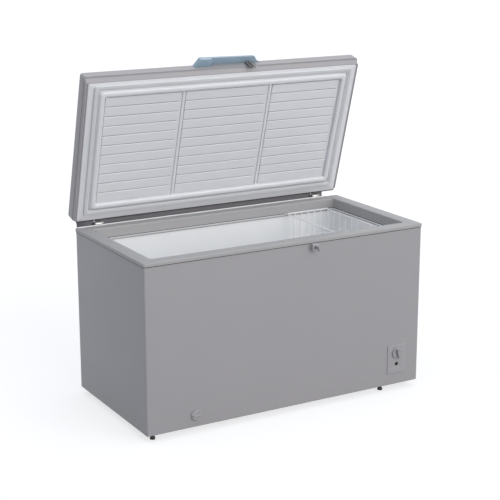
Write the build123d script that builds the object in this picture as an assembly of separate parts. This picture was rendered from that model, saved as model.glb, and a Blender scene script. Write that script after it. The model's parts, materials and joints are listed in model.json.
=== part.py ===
"""Chest freezer with an insulated lid, a wire basket and a compressor bay, in millimetres.

The frame: +X runs to the right of the front, +Y to the back, +Z up. The origin is on the floor, under
the middle of the cabinet. The lid is drawn shut and then turned about its hinge to where it stands open.
"""
import os
from math import cos, pi, radians, sin

from build123d import *

# Overall sizes
cabinet_width = 1400.0
cabinet_depth = 700.0
cabinet_height = 752.0      # lower edge of the steel wrap to the top of the rim
foot_height = 30.0          # floor to the lower edge of the wrap
corner_radius = 14.0        # upright corners of the wrap
bend_radius = 8.0           # bevelled lower edge of the wrap
corner_flats = 4            # flats that stand for a rounded corner
sheet = 1.0                 # steel sheet of the wrap, the panels and the lid
return_flange = 22.0        # sheet folded in round the bottom and the back
fit_gap = 0.3               # between flat faces of pieces that move past each other
shaft_clearance = 0.05      # radial, of a shaft that turns in its hole

# Rim that caps the walls
rim_overhang = 3.0
rim_lip = 15.0
rim_width = 60.0
rim_wall = 3.0
rim_edge_radius = 2.4
collar_depth = 48.0         # rim top to the ledge that carries the basket
ledge_width = 14.0
ledge_lip = 7.0
opening_radius = 12.0

# Liner and the step over the compressor
liner_skin = 1.2
liner_radius = 26.0
floor_thickness = 75.0      # lower edge of the wrap to the floor of the compartment
step_wall = 60.0            # insulation between the compressor bay and the compartment
pan_sheet = 1.0

# Compressor bay, at the right-hand end
bay_width = 300.0
bay_height = 320.0
tray_sheet = 2.0
cover_lap = 10.0
cover_slot_columns = 2
cover_slot_rows = 6
cover_slot_height = 6.0

# Vent in the right-hand side
vent_width = 240.0
vent_height = 180.0
vent_y = 30.0
vent_rise = 170.0
vent_flange = 9.0
vent_proud = 3.0
vent_depth = 14.0
vent_wall = 2.0
vent_slats = 8
vent_slat_angle = 35.0

# Compressor and its circuit
compressor_radius = 80.0
compressor_height = 165.0
compressor_y = 60.0
compressor_round = 36.0
seam_width = 4.0
seam_height = 4.0
bracket_length = 220.0
bracket_width = 164.0
bracket_sheet = 3.0
bracket_corner = 14.0
grommet_radius = 12.0
grommet_neck = 8.0
grommet_height = 10.0
grommet_cap = 4.0
relay_width = 70.0
relay_depth = 36.0
relay_height = 62.0
relay_bevel = 5.0
pipe_bend = 12.0
pipe_sides = 8
turned_sides = 16
disc_sides = 36
pipe_spread = 58.0          # between the two pipes on the shell
pipe_climb = 82.0
discharge_rise = 109.0
suction_rise = 50.0
discharge_radius = 3.0
suction_radius = 4.0
liquid_radius = 2.5
pipe_stand = 26.0           # pipes and drier from the wall of the bay
drier_radius = 9.0
drier_length = 80.0
drier_taper = 14.0
drier_rise = 80.0
drier_offset = 144.0        # compressor to drier, along Y
gland_radius = 11.0
gland_neck = 7.0
gland_proud = 5.0
gland_rise = 60.0
gland_inset = 42.0
tubing_width = 8.0
tubing_thickness = 5.0
tubing_margin = 80.0
tubing_runs = 6

# Lid
lid_gap = 10.0              # rim top to the face of the lid frame, shut
lid_thickness = 68.0
lid_inset = 2.0             # front and back of the lid, from the cabinet's
lid_overhang = 3.0          # ends of the lid past the cabinet's
lid_corner_radius = 12.0
lid_edge_bevel = 6.0        # round the top of the lid
lid_band = 48.0             # height of the upper band of the skirt
lid_joggle = 2.0            # the lower band stands in by this
lid_slope_depth = 23.0      # the lower band slopes in by this at the front
lid_rebate_depth = 5.0      # stepped back edge, clear of the hinges
lid_rebate_height = 12.0
lid_open_angle = 74.0
frame_inset = 12.0          # outer edge of the lid frame, from the cabinet's side
frame_front_inset = 28.0    # its front edge, from the cabinet's front
frame_sheet = 3.0
lid_hem = 10.0
panel_inset = 58.0          # joint between the lid frame and the inner panel
gasket_inset = 40.0
gasket_width = 14.0
gasket_radius = 4.0
seal_gap = 0.4              # gasket to rim, shut
bead_inset = 65.0           # raised bead round the inner panel
bead_width = 27.0
bead_height = 22.0
bead_radius = 9.0
slat_count = 11
slat_low = 2.0
slat_high = 6.5
divider_width = 14.0
divider_height = 9.0
divider_offset = 223.0      # middle of the lid to each divider

# Handle on the front of the lid
handle_x = 12.0             # middle of the handle, right of the middle of the lid
handle_width = 346.0
handle_top_width = 282.0
handle_reach = 33.0
handle_height = 42.0
handle_drop = 4.0           # below the top of the lid
handle_radius = 8.0
handle_solid = 80.0         # closed left-hand end
handle_root = 8.0           # thickness of the lip where it meets the lid
handle_tip = 20.0           # thickness of its outer edge

# Hinges
hinge_inset = 118.0         # end of the cabinet to the middle of a hinge
hinge_gap = 0.5             # between ears, knuckles and the rim
hinge_rise = 4.0            # hinge axis above the rim
hinge_pin_radius = 4.0
hinge_pin_proud = 1.0
hinge_ear_radius = 11.0
hinge_ear_sheet = 4.0
ear_bevel = 0.6             # corners of the ears, as a share of their radius
hinge_knuckle_radius = 9.0
hinge_knuckle_width = 30.0
hinge_plate = 3.0
hinge_plate_width = 64.0
hinge_bracket_drop = 120.0
leaf_height = 22.0
leaf_margin = 2.0

# Rail behind the hinges
rail_sheet = 2.0
rail_rise = 16.0            # hinge axis to the top of the rail
rail_drop = 50.0
rail_flange = 36.0
rail_end_gap = 3.0
rail_left_inset = 8.0       # ends of the cabinet to the ends of the rail
rail_right_inset = 70.0
rail_notch = 4.0            # hinge axis down to the foot of a notch for a leaf

# Lock under the rim
lock_x = 115.0
lock_width = 30.0
lock_height = 30.0
lock_depth = 20.0
lock_wall = 3.0
lock_below_lip = 2.0
barrel_radius = 7.0
barrel_proud = 3.0
spindle_radius = 3.5
hook_inner = 7.0
hook_outer = 10.0
hook_sheet = 3.0
hook_lead = 105.0           # angle of the leading end, from +X towards +Z
hook_sweep = 132.0
hook_arm = 3.6
hook_arm_turn = 8.0         # arm ahead of the trailing end
hook_room = 1.0             # hook to the inside of the case
keyway_share = 0.6          # half of the keyway as a share of the barrel's radius
window_room = 0.8           # hook to the edges of the window in the tongue
tongue_sheet = 3.0
tongue_width = 8.0
tongue_clearance = 1.5
key_bow_radius = 11.0
key_bow_overlap = 2.0
key_hole_radius = 3.0
key_sheet = 2.2
key_neck = 10.0

# Control plate and thermostat
control_inset = 122.0       # right-hand end to the middle of the plate
control_rise = 124.0        # middle of the plate above the lower edge of the wrap
control_corner = 8.0
control_width = 102.0
control_height = 140.0
control_plate_thickness = 3.0
knob_rise = 29.0            # knob above the middle of the plate
knob_radius = 26.0
knob_height = 18.0
knob_flange = 6.0
knob_bar = 11.0
knob_turn = -15.0
knob_shaft_radius = 3.0
knob_shaft_length = 22.0
thermostat_size = 46.0
thermostat_depth = 32.0
lamp_drop = 24.0
lamp_radius = 6.0
lamp_proud = 2.0
lamp_depth = 4.0            # behind the front of the wrap

# Drain
drain_inset = 230.0         # left-hand end to the drain
drain_fall = 20.0           # compartment floor down to the outlet
drain_bore = 8.0
drain_wall = 3.0
drain_inlet = 60.0          # inside of the front wall to the middle of the drain in the floor
drain_cap_radius = 23.0
drain_cap_height = 16.0
drain_flange = 6.5
drain_ridge = 9.0
drain_spigot = 24.0

# Basket
basket_inset = 105.0        # right-hand end to the right-hand rail of the basket
basket_width = 231.0
basket_height = 230.0
basket_end_gap = 14.0       # liner wall to the end wires
wire_radius = 2.0
wire_sides = 8
rail_wire_radius = 3.0
side_wires = 11
end_wires = 5

# Feet
foot_left_inset = 44.0
foot_right_inset = 182.0
foot_front_inset = 40.0
foot_pad_radius = 12.0
foot_pad_height = 14.0
foot_pad_bevel = 3.0
foot_stud_radius = 4.0
foot_nut_size = 13.0
foot_nut_height = 8.0

# Levels and edges that follow
half_width = cabinet_width / 2
half_depth = cabinet_depth / 2
base_z = foot_height
rim_z = base_z + cabinet_height
wrap_top = rim_z - rim_wall
ledge_z = rim_z - collar_depth
liner_top = ledge_z - rim_wall
liner_inset = rim_width + ledge_width - rim_wall
floor_z = base_z + floor_thickness
pan_z = base_z + sheet
back_face = half_depth - sheet
bay_right = half_width - sheet
bay_left = bay_right - bay_width
bay_top = base_z + bay_height
step_x = bay_left - step_wall
step_z = bay_top + step_wall
lid_z = rim_z + lid_gap
lid_top = lid_z + lid_thickness
lid_front = -half_depth + lid_inset
lid_back = half_depth - lid_inset
lid_step = lid_top - lid_band
hinge_y = half_depth + rim_overhang + hinge_ear_radius
hinge_z = rim_z + hinge_rise
hinge_axis = Axis((0, hinge_y, hinge_z), (-1, 0, 0))
hinge_places = {"left": hinge_inset - half_width, "right": half_width - hinge_inset}
front = -half_depth
tray_top = pan_z + tray_sheet
bracket_z = tray_top + grommet_height
compressor_z = bracket_z + bracket_sheet
compressor_x = (bay_left + bay_right) / 2
control_x = half_width - control_inset
control_z = base_z + control_rise
knob_z = control_z + knob_rise
lamp_z = control_z - lamp_drop
drain_x = drain_inset - half_width
drain_z = floor_z - drain_fall
drain_y = front + liner_inset + drain_inlet
vent_z = base_z + vent_rise
basket_right = half_width - basket_inset
basket_left = basket_right - basket_width
lock_top = rim_z - rim_lip - lock_below_lip
lock_z = lock_top - lock_height + lock_wall + hook_outer + hook_room
tongue_y = front - rim_overhang - tongue_clearance - tongue_width / 2
handle_z = lid_top - handle_drop - handle_height


def block(x, y, z):
    """Block between the low and high value on each axis."""
    middle = Pos(sum(x) / 2, sum(y) / 2, sum(z) / 2)
    return middle * Box(x[1] - x[0], y[1] - y[0], z[1] - z[0])


def soften(points, radii):
    """Points of an outline whose square corners are rounded in flats, each to its radius."""
    soft = []
    for i, radius in enumerate(radii):
        corner = Vector(*points[i])
        back = (Vector(*points[i - 1]) - corner).normalized() * radius
        ahead = (Vector(*points[(i + 1) % len(points)]) - corner).normalized() * radius
        turns = [radians(90 * flat / corner_flats) for flat in range(corner_flats + 1)] if radius else [0]
        soft += [corner + back * (1 - sin(turn)) + ahead * (1 - cos(turn)) for turn in turns]
    return soft


def rounded(x, y, z, radius):
    """Block with rounded upright corners."""
    points = [(x[0], y[0], z[0]), (x[1], y[0], z[0]), (x[1], y[1], z[0]), (x[0], y[1], z[0])]
    outline = make_face(Polyline(*soften(points, [radius] * 4), close=True))
    return extrude(outline, z[1] - z[0], dir=(0, 0, 1))


def cabinet_plan(inset, z):
    """The cabinet's plan, drawn in by an inset, over a height."""
    x = half_width - inset
    y = half_depth - inset
    return rounded((-x, x), (-y, y), z, max(corner_radius - inset, opening_radius))


def cabinet_ring(outer, inner, z):
    """Frame between two insets of the cabinet's plan."""
    return cabinet_plan(outer, z) - cabinet_plan(inner, z)


def cabinet_body(inset, z, radius):
    """Cabinet block with a bevelled lower edge."""
    x = half_width - inset
    y = half_depth - inset
    body = rounded((-x, x), (-y, y), z, corner_radius - inset)
    return chamfer(body.edges().group_by(Axis.Z)[0], radius)


def side_profile(points, x0, x1):
    """Prism along X with the given outline of (y, z) points."""
    outline = make_face(Polyline(*[(x0, y, z) for y, z in points], close=True))
    return extrude(outline, x1 - x0, dir=(1, 0, 0))


def bar_x(x0, x1, y, z, radius):
    """Round bar along X."""
    return Pos((x0 + x1) / 2, y, z) * Rot(0, 90, 0) * Cylinder(radius, x1 - x0)


def bar_y(x, y0, y1, z, radius):
    """Round bar along Y."""
    return Pos(x, (y0 + y1) / 2, z) * Rot(90, 0, 0) * Cylinder(radius, y1 - y0)


def bar_z(x, y, z0, z1, radius):
    """Round upright bar."""
    return Pos(x, y, (z0 + z1) / 2) * Cylinder(radius, z1 - z0)


def flat_section(radius, sides):
    """Regular outline with flats square to the axes, on a circle inside it."""
    return RegularPolygon(radius, sides, major_radius=False, rotation=180 / sides)


def wire(start, end, radius):
    """Straight wire with flats."""
    run = Vector(*end) - Vector(*start)
    return extrude(Plane(start, z_dir=run) * flat_section(radius, wire_sides), run.length)


def turned(profile, sides):
    """Upright turned form with flats, through pairs of radius and height."""
    turns = [2 * pi * (side + 0.5) / sides for side in range(sides)]
    rings = []
    for radius, z in profile:
        reach = radius / cos(pi / sides)
        rings.append([(reach * cos(turn), reach * sin(turn), z) for turn in turns])
    outlines = [rings[0][::-1], rings[-1]]
    for low, high in zip(rings, rings[1:]):
        for side in range(sides):
            outlines.append([low[side - 1], low[side], high[side], high[side - 1]])
    return Solid(Shell([Face(Wire.make_polygon(outline)) for outline in outlines]))


def disc_y(x, y0, y1, z, radius, sides):
    """Disc along Y with many flats, inside a circle."""
    return Pos(x, y1, z) * extrude(Plane.XZ * RegularPolygon(radius, sides), y1 - y0)


def hole_y(x, y, z, radius):
    """Short cutter along Y with flats, round a circle."""
    depth = 4 * control_plate_thickness
    return Pos(x, y + depth / 2, z) * extrude(Plane.XZ * flat_section(radius, turned_sides), depth)


def bent_pipe(points, radius):
    """Pipe with flats along straight runs, with a short run across each corner."""
    route = [Vector(*points[0])]
    for before, corner, after in zip(points, points[1:], points[2:]):
        corner = Vector(*corner)
        for other in (before, after):
            route.append(corner + (Vector(*other) - corner).normalized() * pipe_bend)
    path = Polyline(*route, Vector(*points[-1]))
    section = Plane(path @ 0, z_dir=path % 0) * flat_section(radius, pipe_sides)
    return sweep(section, path, transition=Transition.RIGHT)


def group(solids):
    """Separate solids kept together as one piece."""
    return Compound(children=list(solids))


# Cabinet shell
def front_plate(width, height, thickness, radius):
    """Rounded plate standing on the front of the cabinet, about X and Z of 0."""
    x = width / 2
    z = height / 2
    points = [(-x, front, -z), (x, front, -z), (x, front, z), (-x, front, z)]
    outline = make_face(Polyline(*soften(points, [radius] * 4), close=True))
    return extrude(outline, thickness, dir=(0, -1, 0))


def liner_volume(skin, top):
    """Space inside the liner, or its outside when skin is the sheet's thickness."""
    x = half_width - liner_inset + skin
    y = half_depth - liner_inset + skin
    floor = floor_z - skin
    corners = [
        (-x, -y, floor), (step_x + skin, -y, floor), (step_x + skin, -y, step_z - skin),
        (x, -y, step_z - skin), (x, -y, top), (-x, -y, top)]
    outline = soften(corners, [liner_radius] * 4 + [0, 0])
    body = extrude(make_face(Polyline(*outline, close=True)), 2 * y, dir=(0, 1, 0))
    return body & rounded((-x, x), (-y, y), (floor - 1, top + 1), liner_radius)


def drain_tube(radius):
    """Round rod along the drain, from the front of the wrap up to the compartment floor."""
    path = Polyline((drain_x, front, drain_z), (drain_x, drain_y, drain_z), (drain_x, drain_y, floor_z))
    return sweep(Plane(path @ 0, z_dir=path % 0) * Circle(radius), path, transition=Transition.RIGHT)


def vent_opening(grow, x):
    """Block through the right-hand wall at the vent."""
    y = vent_width / 2 + grow
    z = vent_height / 2 + grow
    return block(x, (vent_y - y, vent_y + y), (vent_z - z, vent_z + z))


def make_cabinet_wrap():
    """Sheet folded round the front and sides, with flanges at the bottom and the back."""
    wrap = cabinet_body(0, (base_z, wrap_top), bend_radius)
    wrap -= cabinet_body(sheet, (pan_z, wrap_top + 1), bend_radius - sheet)
    x = half_width - return_flange
    y = half_depth - return_flange
    wrap -= block((-x, x), (-y, y), (base_z - 1, pan_z + 1))
    wrap -= block((-x, x), (0, half_depth + 1), (base_z + return_flange, wrap_top + 1))
    wrap -= vent_opening(0, (bay_left, half_width + 1))
    wrap -= hole_y(control_x, front, knob_z, knob_shaft_radius + 1)
    wrap -= hole_y(control_x, front, lamp_z, lamp_radius)
    return wrap - hole_y(drain_x, front, drain_z, drain_bore + drain_wall)


def make_back_panel():
    """Flat back of the insulated walls, cut away behind the compressor."""
    x = half_width - corner_radius
    panel = block((-x, x), (back_face - sheet, back_face), (base_z + bend_radius, wrap_top))
    return panel - block((bay_left, half_width), (0, half_depth), (base_z, bay_top))


def make_base_pan():
    """Sheet that closes the insulation from below."""
    y = half_depth - corner_radius
    return block((corner_radius - half_width, bay_left - sheet), (-y, y), (pan_z, pan_z + pan_sheet))


def make_compressor_bay_panel():
    """Bent sheet between the insulation and the compressor bay."""
    y = (front, back_face - sheet)
    panel = block((bay_left - sheet, bay_left), y, (pan_z, bay_top + sheet))
    panel += block((bay_left, half_width), y, (bay_top, bay_top + sheet))
    return panel & cabinet_body(sheet, (pan_z, wrap_top), bend_radius - sheet)


def make_compressor_tray():
    """Floor of the compressor bay."""
    y = half_depth - corner_radius
    return block((bay_left, half_width - corner_radius), (-y, y), (pan_z, tray_top))


def liner_plan(inset, z):
    """The compartment's plan, drawn in by an inset, over a height."""
    x = half_width - liner_inset - inset
    y = half_depth - liner_inset - inset
    return rounded((-x, x), (-y, y), z, liner_radius - inset)


def make_top_rim():
    """Moulded frame over the walls: lip, top, collar and the ledge that carries the basket."""
    rim = cabinet_ring(-rim_overhang, rim_width, (wrap_top, rim_z))
    rim = chamfer(rim.edges().group_by(Axis.Z)[-1], rim_edge_radius)
    rim += cabinet_ring(-rim_overhang, 0, (rim_z - rim_lip, wrap_top))
    rim += cabinet_ring(rim_width - rim_wall, rim_width, (liner_top, wrap_top))
    ledge = (liner_top, ledge_z)
    rim += cabinet_plan(rim_width - rim_wall, ledge) - liner_plan(rim_wall, ledge)
    lip = (ledge_z - ledge_lip, liner_top)
    return rim + (liner_plan(0, lip) - liner_plan(rim_wall, lip))


def make_inner_liner():
    """Tub of the compartment, with the step over the compressor and the drain hole."""
    liner = liner_volume(liner_skin, liner_top) - liner_volume(0, liner_top)
    floor = (floor_z - 2 * liner_skin, floor_z + liner_skin)
    return liner - bar_z(drain_x, drain_y, *floor, drain_bore + drain_wall)


def make_wall_insulation():
    """Foam between the steel and the liner."""
    foam = cabinet_body(sheet, (pan_z, wrap_top), bend_radius - sheet)
    foam -= block((-half_width, half_width), (back_face - sheet, half_depth), (0, rim_z))
    foam -= cabinet_plan(rim_width - rim_wall, (liner_top, rim_z))
    foam -= liner_volume(liner_skin, liner_top)
    foam -= block((bay_left - sheet, half_width), (front, half_depth), (0, bay_top + sheet))
    return foam - make_base_pan() - drain_tube(drain_bore + drain_wall)


def make_drain_pipe():
    """Pipe that drains the compartment through the front wall."""
    return drain_tube(drain_bore + drain_wall) - drain_tube(drain_bore)


def serpentine(width, height):
    """Flattened tube in upright runs, flat on the XY plane, about its middle."""
    pitch = width / (tubing_runs - 1)
    outline = Sketch()
    for run in range(tubing_runs):
        x = run * pitch - width / 2
        outline += Pos(x, 0) * Rectangle(tubing_width, height)
        if run:
            end = (height - tubing_width) / 2 * (-1) ** run
            outline += Pos(x - pitch / 2, end) * Rectangle(pitch + tubing_width, tubing_width)
    return extrude(outline, tubing_thickness)


def make_evaporator_tubing():
    """Tubing in the foam against the front and back of the liner."""
    left = -half_width + liner_inset + tubing_margin
    right = step_x - tubing_margin
    low = floor_z + tubing_margin
    high = liner_top - tubing_margin
    y = half_depth - liner_inset + liner_skin
    middle = ((left + right) / 2, (low + high) / 2)
    coil = serpentine(right - left, high - low)
    return group(
        Plane(origin=(middle[0], side * y, middle[1]), x_dir=(1, 0, 0), z_dir=(0, side, 0)) * coil
        for side in (-1, 1))


def make_condenser_tubing():
    """Tubing in the foam against the inside of the left-hand wall."""
    depth = cabinet_depth - 2 * tubing_margin
    low = base_z + tubing_margin
    high = rim_z - rim_lip - tubing_margin
    place = Plane(origin=(sheet - half_width, 0, (low + high) / 2), x_dir=(0, 1, 0), z_dir=(1, 0, 0))
    return place * serpentine(depth, high - low)


# Compressor bay
def corner_places(length, width):
    """Four places round a middle."""
    return [(x * length / 2, y * width / 2) for x in (-1, 1) for y in (-1, 1)]


grommet_places = corner_places(bracket_length - 3 * grommet_radius, bracket_width - 3 * grommet_radius)


def make_compressor_shell():
    """Pressed shell of two domed halves with a welded seam."""
    half = compressor_height / 2
    dome = compressor_radius - compressor_round
    profile = [
        (dome, 0), (compressor_radius - compressor_round / 4, compressor_round / 3),
        (compressor_radius, compressor_round), (compressor_radius, half)]
    profile += [(radius, compressor_height - z) for radius, z in profile[2::-1]]
    shell = turned(profile, turned_sides)
    seam = extrude(flat_section(compressor_radius + seam_width, turned_sides), seam_height)
    return Pos(compressor_x, compressor_y, compressor_z) * (shell + Pos(0, 0, half) * seam)


def make_compressor_bracket():
    """Plate under the shell, on the rubber mounts."""
    x = (compressor_x - bracket_length / 2, compressor_x + bracket_length / 2)
    y = (compressor_y - bracket_width / 2, compressor_y + bracket_width / 2)
    plate = rounded(x, y, (bracket_z, compressor_z), bracket_corner)
    for dx, dy in grommet_places:
        x = compressor_x + dx
        hole = extrude(flat_section(grommet_neck, pipe_sides), 3 * bracket_sheet)
        plate -= Pos(x, compressor_y + dy, bracket_z - bracket_sheet) * hole
    return plate


def make_compressor_grommets():
    """Rubber mounts between the tray and the bracket."""
    mount = extrude(flat_section(grommet_radius, pipe_sides), grommet_height)
    mount += extrude(flat_section(grommet_neck, pipe_sides), grommet_height + bracket_sheet)
    cap = extrude(flat_section(grommet_radius, pipe_sides), grommet_cap)
    mount += Pos(0, 0, grommet_height + bracket_sheet) * cap
    return group(Pos(compressor_x + dx, compressor_y + dy, tray_top) * mount for dx, dy in grommet_places)


def make_relay_cover():
    """Cover of the starting relay on the front of the shell."""
    y = compressor_y - compressor_radius
    z = compressor_z + compressor_height / 2 - relay_height / 2
    x = (compressor_x - relay_width / 2, compressor_x + relay_width / 2)
    cover = block(x, (y - relay_depth / 2, y + relay_depth), (z, z + relay_height))
    cover = chamfer(cover.edges().group_by(Axis.Y)[0], relay_bevel)
    return cover - make_compressor_shell()


def shell_pipe(dy, rise, climb, radius):
    """Pipe from the side of the shell to the wall of the bay."""
    y = compressor_y + dy
    z = compressor_z + rise
    x = bay_left + pipe_stand
    route = [(compressor_x, y, z), (x, y, z), (x, y, z + climb), (bay_left, y, z + climb)]
    return bent_pipe(route, radius) - make_compressor_shell()


def make_discharge_pipe():
    """Hot gas pipe."""
    return shell_pipe(pipe_spread / 2, discharge_rise, pipe_climb, discharge_radius)


def make_suction_pipe():
    """Cold gas pipe."""
    return shell_pipe(-pipe_spread / 2, suction_rise, pipe_climb, suction_radius)


drier_x = bay_left + pipe_stand
drier_y = compressor_y - drier_offset
drier_z = tray_top + drier_rise


def make_filter_drier():
    """Spun copper drier in the liquid line."""
    profile = [
        (liquid_radius, 0), (drier_radius, drier_taper), (drier_radius, drier_length - drier_taper),
        (liquid_radius, drier_length)]
    return Pos(drier_x, drier_y, drier_z) * turned(profile, turned_sides)


def make_liquid_pipes():
    """Pipes from the wall of the bay to both ends of the drier."""
    pipes = []
    for end, way in ((drier_z, -1), (drier_z + drier_length, 1)):
        turn = end + way * 2.5 * pipe_bend
        route = [(drier_x, drier_y, end), (drier_x, drier_y, turn), (bay_left, drier_y, turn)]
        pipes.append(bent_pipe(route, liquid_radius))
    return group(pipes)


def make_side_vent():
    """Louvred vent in the right-hand wall."""
    outside = half_width + vent_proud
    vent = vent_opening(vent_flange, (half_width, outside))
    vent += vent_opening(0, (half_width - vent_depth, half_width))
    vent -= vent_opening(-vent_wall, (half_width - vent_depth - 1, outside + 1))
    pitch = vent_height / vent_slats
    for slat in range(vent_slats):
        z = vent_z - vent_height / 2 + (slat + 0.5) * pitch
        blade = Box(vent_depth, vent_width - vent_wall, vent_wall)
        middle = Pos(half_width - vent_depth / 2 + vent_wall, vent_y, z)
        vent += middle * Rot(0, vent_slat_angle, 0) * blade
    return vent


gland_x = bay_left + gland_inset
gland_z = base_z + gland_rise


def make_rear_bay_cover():
    """Slotted cover over the back of the compressor bay."""
    x = (bay_left - cover_lap, half_width - return_flange - fit_gap)
    z = (base_z + return_flange + fit_gap, bay_top + cover_lap)
    cover = block(x, (back_face, half_depth), z)
    first = gland_z + 3 * gland_radius
    column = (x[1] - x[0]) / cover_slot_columns
    row = (bay_top - first) / cover_slot_rows
    for i in range(cover_slot_columns):
        for j in range(cover_slot_rows):
            middle = Pos(x[0] + (i + 0.5) * column, half_depth, first + (j + 0.5) * row)
            cover -= middle * Box(column * 0.7, 3 * sheet, cover_slot_height)
    return cover - hole_y(gland_x, half_depth, gland_z, gland_neck)


def make_cord_gland():
    """Hexagon bush in the rear cover where the supply comes in."""
    gland = disc_y(gland_x, back_face - gland_proud, half_depth, gland_z, gland_neck, turned_sides)
    flange = extrude(Plane.XZ * RegularPolygon(gland_radius, 6), -gland_proud)
    return gland + Pos(gland_x, half_depth, gland_z) * flange


# Controls on the front
def make_control_plate():
    """Plate behind the thermostat knob."""
    plate = Pos(control_x, 0, control_z) * front_plate(
        control_width, control_height, control_plate_thickness, control_corner)
    plate -= hole_y(control_x, front, knob_z, knob_shaft_radius + 1)
    return plate - hole_y(control_x, front, lamp_z, lamp_radius)


def make_thermostat():
    """Thermostat behind the front sheet."""
    x = (control_x - thermostat_size / 2, control_x + thermostat_size / 2)
    z = (knob_z - thermostat_size / 2, knob_z + thermostat_size / 2)
    body = block(x, (front + sheet, front + sheet + thermostat_depth), z)
    bore = knob_shaft_radius + shaft_clearance
    return body - bar_y(control_x, front, front + sheet + knob_shaft_length + 1, knob_z, bore)


def make_thermostat_knob():
    """Round knob with a raised grip, on its shaft."""
    back = front - control_plate_thickness - fit_gap
    face = back - knob_flange
    knob = disc_y(0, face, back, 0, knob_radius, disc_sides)
    grip = Plane.XZ * RectangleRounded(knob_bar, 2 * knob_radius - knob_bar / 2, knob_bar / 3)
    knob += Pos(0, face, 0) * extrude(grip, knob_height - knob_flange)
    knob = Rot(0, knob_turn, 0) * knob
    knob += bar_y(0, back, front + sheet + knob_shaft_length, 0, knob_shaft_radius)
    return Pos(control_x, 0, knob_z) * knob


def make_indicator_lamp():
    """Dark lens of the running lamp."""
    face = front - control_plate_thickness - lamp_proud
    return disc_y(control_x, face, front + lamp_depth, lamp_z, lamp_radius, turned_sides)


def make_drain_plug():
    """Cap with a grip ridge and a spigot in the drain pipe."""
    back = front - fit_gap
    face = back - drain_flange
    plug = disc_y(0, face, back, 0, drain_cap_radius, disc_sides)
    ridge = Plane.XZ * RectangleRounded(2 * drain_cap_radius - drain_ridge, drain_ridge, drain_ridge / 3)
    plug += Pos(0, face, 0) * extrude(ridge, drain_cap_height - drain_flange)
    plug += bar_y(0, back, front + drain_spigot, 0, drain_bore - shaft_clearance)
    return Pos(drain_x, 0, drain_z) * plug


# Lock
def make_lock_body():
    """Case of the lock, with a slot in its top for the tongue of the lid."""
    x = lock_width / 2
    face = front - lock_depth
    z = (lock_top - lock_height, lock_top)
    body = block((-x, x), (face, front), z)
    body = chamfer(body.edges().group_by(Axis.Y)[0], lock_wall / 2)
    inside = (z[0] + lock_wall, z[1] - lock_wall)
    body -= block((lock_wall - x, x - lock_wall), (face + lock_wall, front + sheet), inside)
    slot = tongue_sheet / 2 + tongue_clearance
    reach = tongue_width / 2 + tongue_clearance
    body -= block((-slot, slot), (tongue_y - reach, tongue_y + reach), (lock_z, z[1] + 1))
    body -= bar_y(0, face - 1, face + lock_wall + 1, lock_z, barrel_radius + shaft_clearance)
    return Pos(lock_x, 0, 0) * body


def hook_outline():
    """Hook of the barrel in the XZ plane: a sector of a ring on an arm at its trailing end."""
    start = CenterArc((0, 0), hook_inner, hook_lead, hook_sweep)
    outer = CenterArc((0, 0), hook_outer, hook_lead, hook_sweep)
    sector = make_face([start, outer, Line(start @ 0, outer @ 0), Line(start @ 1, outer @ 1)])
    arm = Rectangle(hook_inner + hook_arm / 2, hook_arm, align=(Align.MIN, Align.CENTER))
    return sector + Rot(0, 0, hook_lead + hook_sweep - hook_arm_turn) * arm


def make_lock_barrel():
    """Barrel with a keyway and the hook that catches the tongue."""
    face = front - lock_depth
    slot = barrel_radius * keyway_share
    barrel = bar_y(0, face - barrel_proud, face + lock_wall, 0, barrel_radius)
    barrel -= block((-key_sheet / 2, key_sheet / 2), (face - 2 * barrel_proud, face), (-slot, slot))
    near = tongue_y - hook_sheet / 2
    barrel += bar_y(0, face + lock_wall, near + hook_sheet, 0, spindle_radius)
    hook = extrude(Plane.XZ * hook_outline(), hook_sheet)
    return Pos(lock_x, 0, lock_z) * (barrel + Pos(0, near + hook_sheet, 0) * hook)


def make_lock_key():
    """Key standing in the barrel."""
    face = front - lock_depth
    shoulder = face - barrel_proud - key_neck
    x = key_sheet / 2
    slot = barrel_radius * keyway_share
    key = block((-x, x), (shoulder, face), (-slot, slot))
    bow_y = shoulder - key_bow_radius + key_bow_overlap
    bow = flat_section(key_bow_radius, turned_sides)
    bow -= Pos(-key_bow_radius / 2, 0) * flat_section(key_hole_radius, pipe_sides)
    key += Pos(-x, bow_y, 0) * extrude(Plane.YZ * bow, key_sheet)
    return Pos(lock_x, 0, lock_z) * key


# Hinges
def make_hinge_bracket(x):
    """Pressed bracket on the back, with two ears round the knuckle."""
    top = rim_z - rim_lip - leaf_margin
    low = rim_z - hinge_bracket_drop
    half = hinge_plate_width / 2
    plate = (back_face, back_face + hinge_plate)
    bracket = block((x - half, x + half), plate, (low, top))
    inner = half_depth + rim_overhang + hinge_gap
    outer = hinge_y + hinge_ear_radius
    bevel = hinge_ear_radius * ear_bevel
    crown = hinge_z + hinge_ear_radius
    outline = [
        (back_face, top), (inner, top), (inner, crown - bevel), (inner + bevel, crown),
        (outer - bevel, crown), (outer, crown - bevel), (outer, hinge_z - 2 * hinge_ear_radius),
        (plate[1], low), (back_face, low)]
    start = hinge_knuckle_width / 2 + hinge_gap
    for x0, x1 in ((x - start - hinge_ear_sheet, x - start), (x + start, x + start + hinge_ear_sheet)):
        ear = side_profile(outline, x0, x1)
        bracket += ear - bar_x(x0 - 1, x1 + 1, hinge_y, hinge_z, hinge_pin_radius)
    return bracket


def make_hinge_pin(x):
    """Pin held in the ears."""
    end = hinge_knuckle_width / 2 + hinge_gap + hinge_ear_sheet + hinge_pin_proud
    return bar_x(x - end, x + end, hinge_y, hinge_z, hinge_pin_radius)


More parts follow.
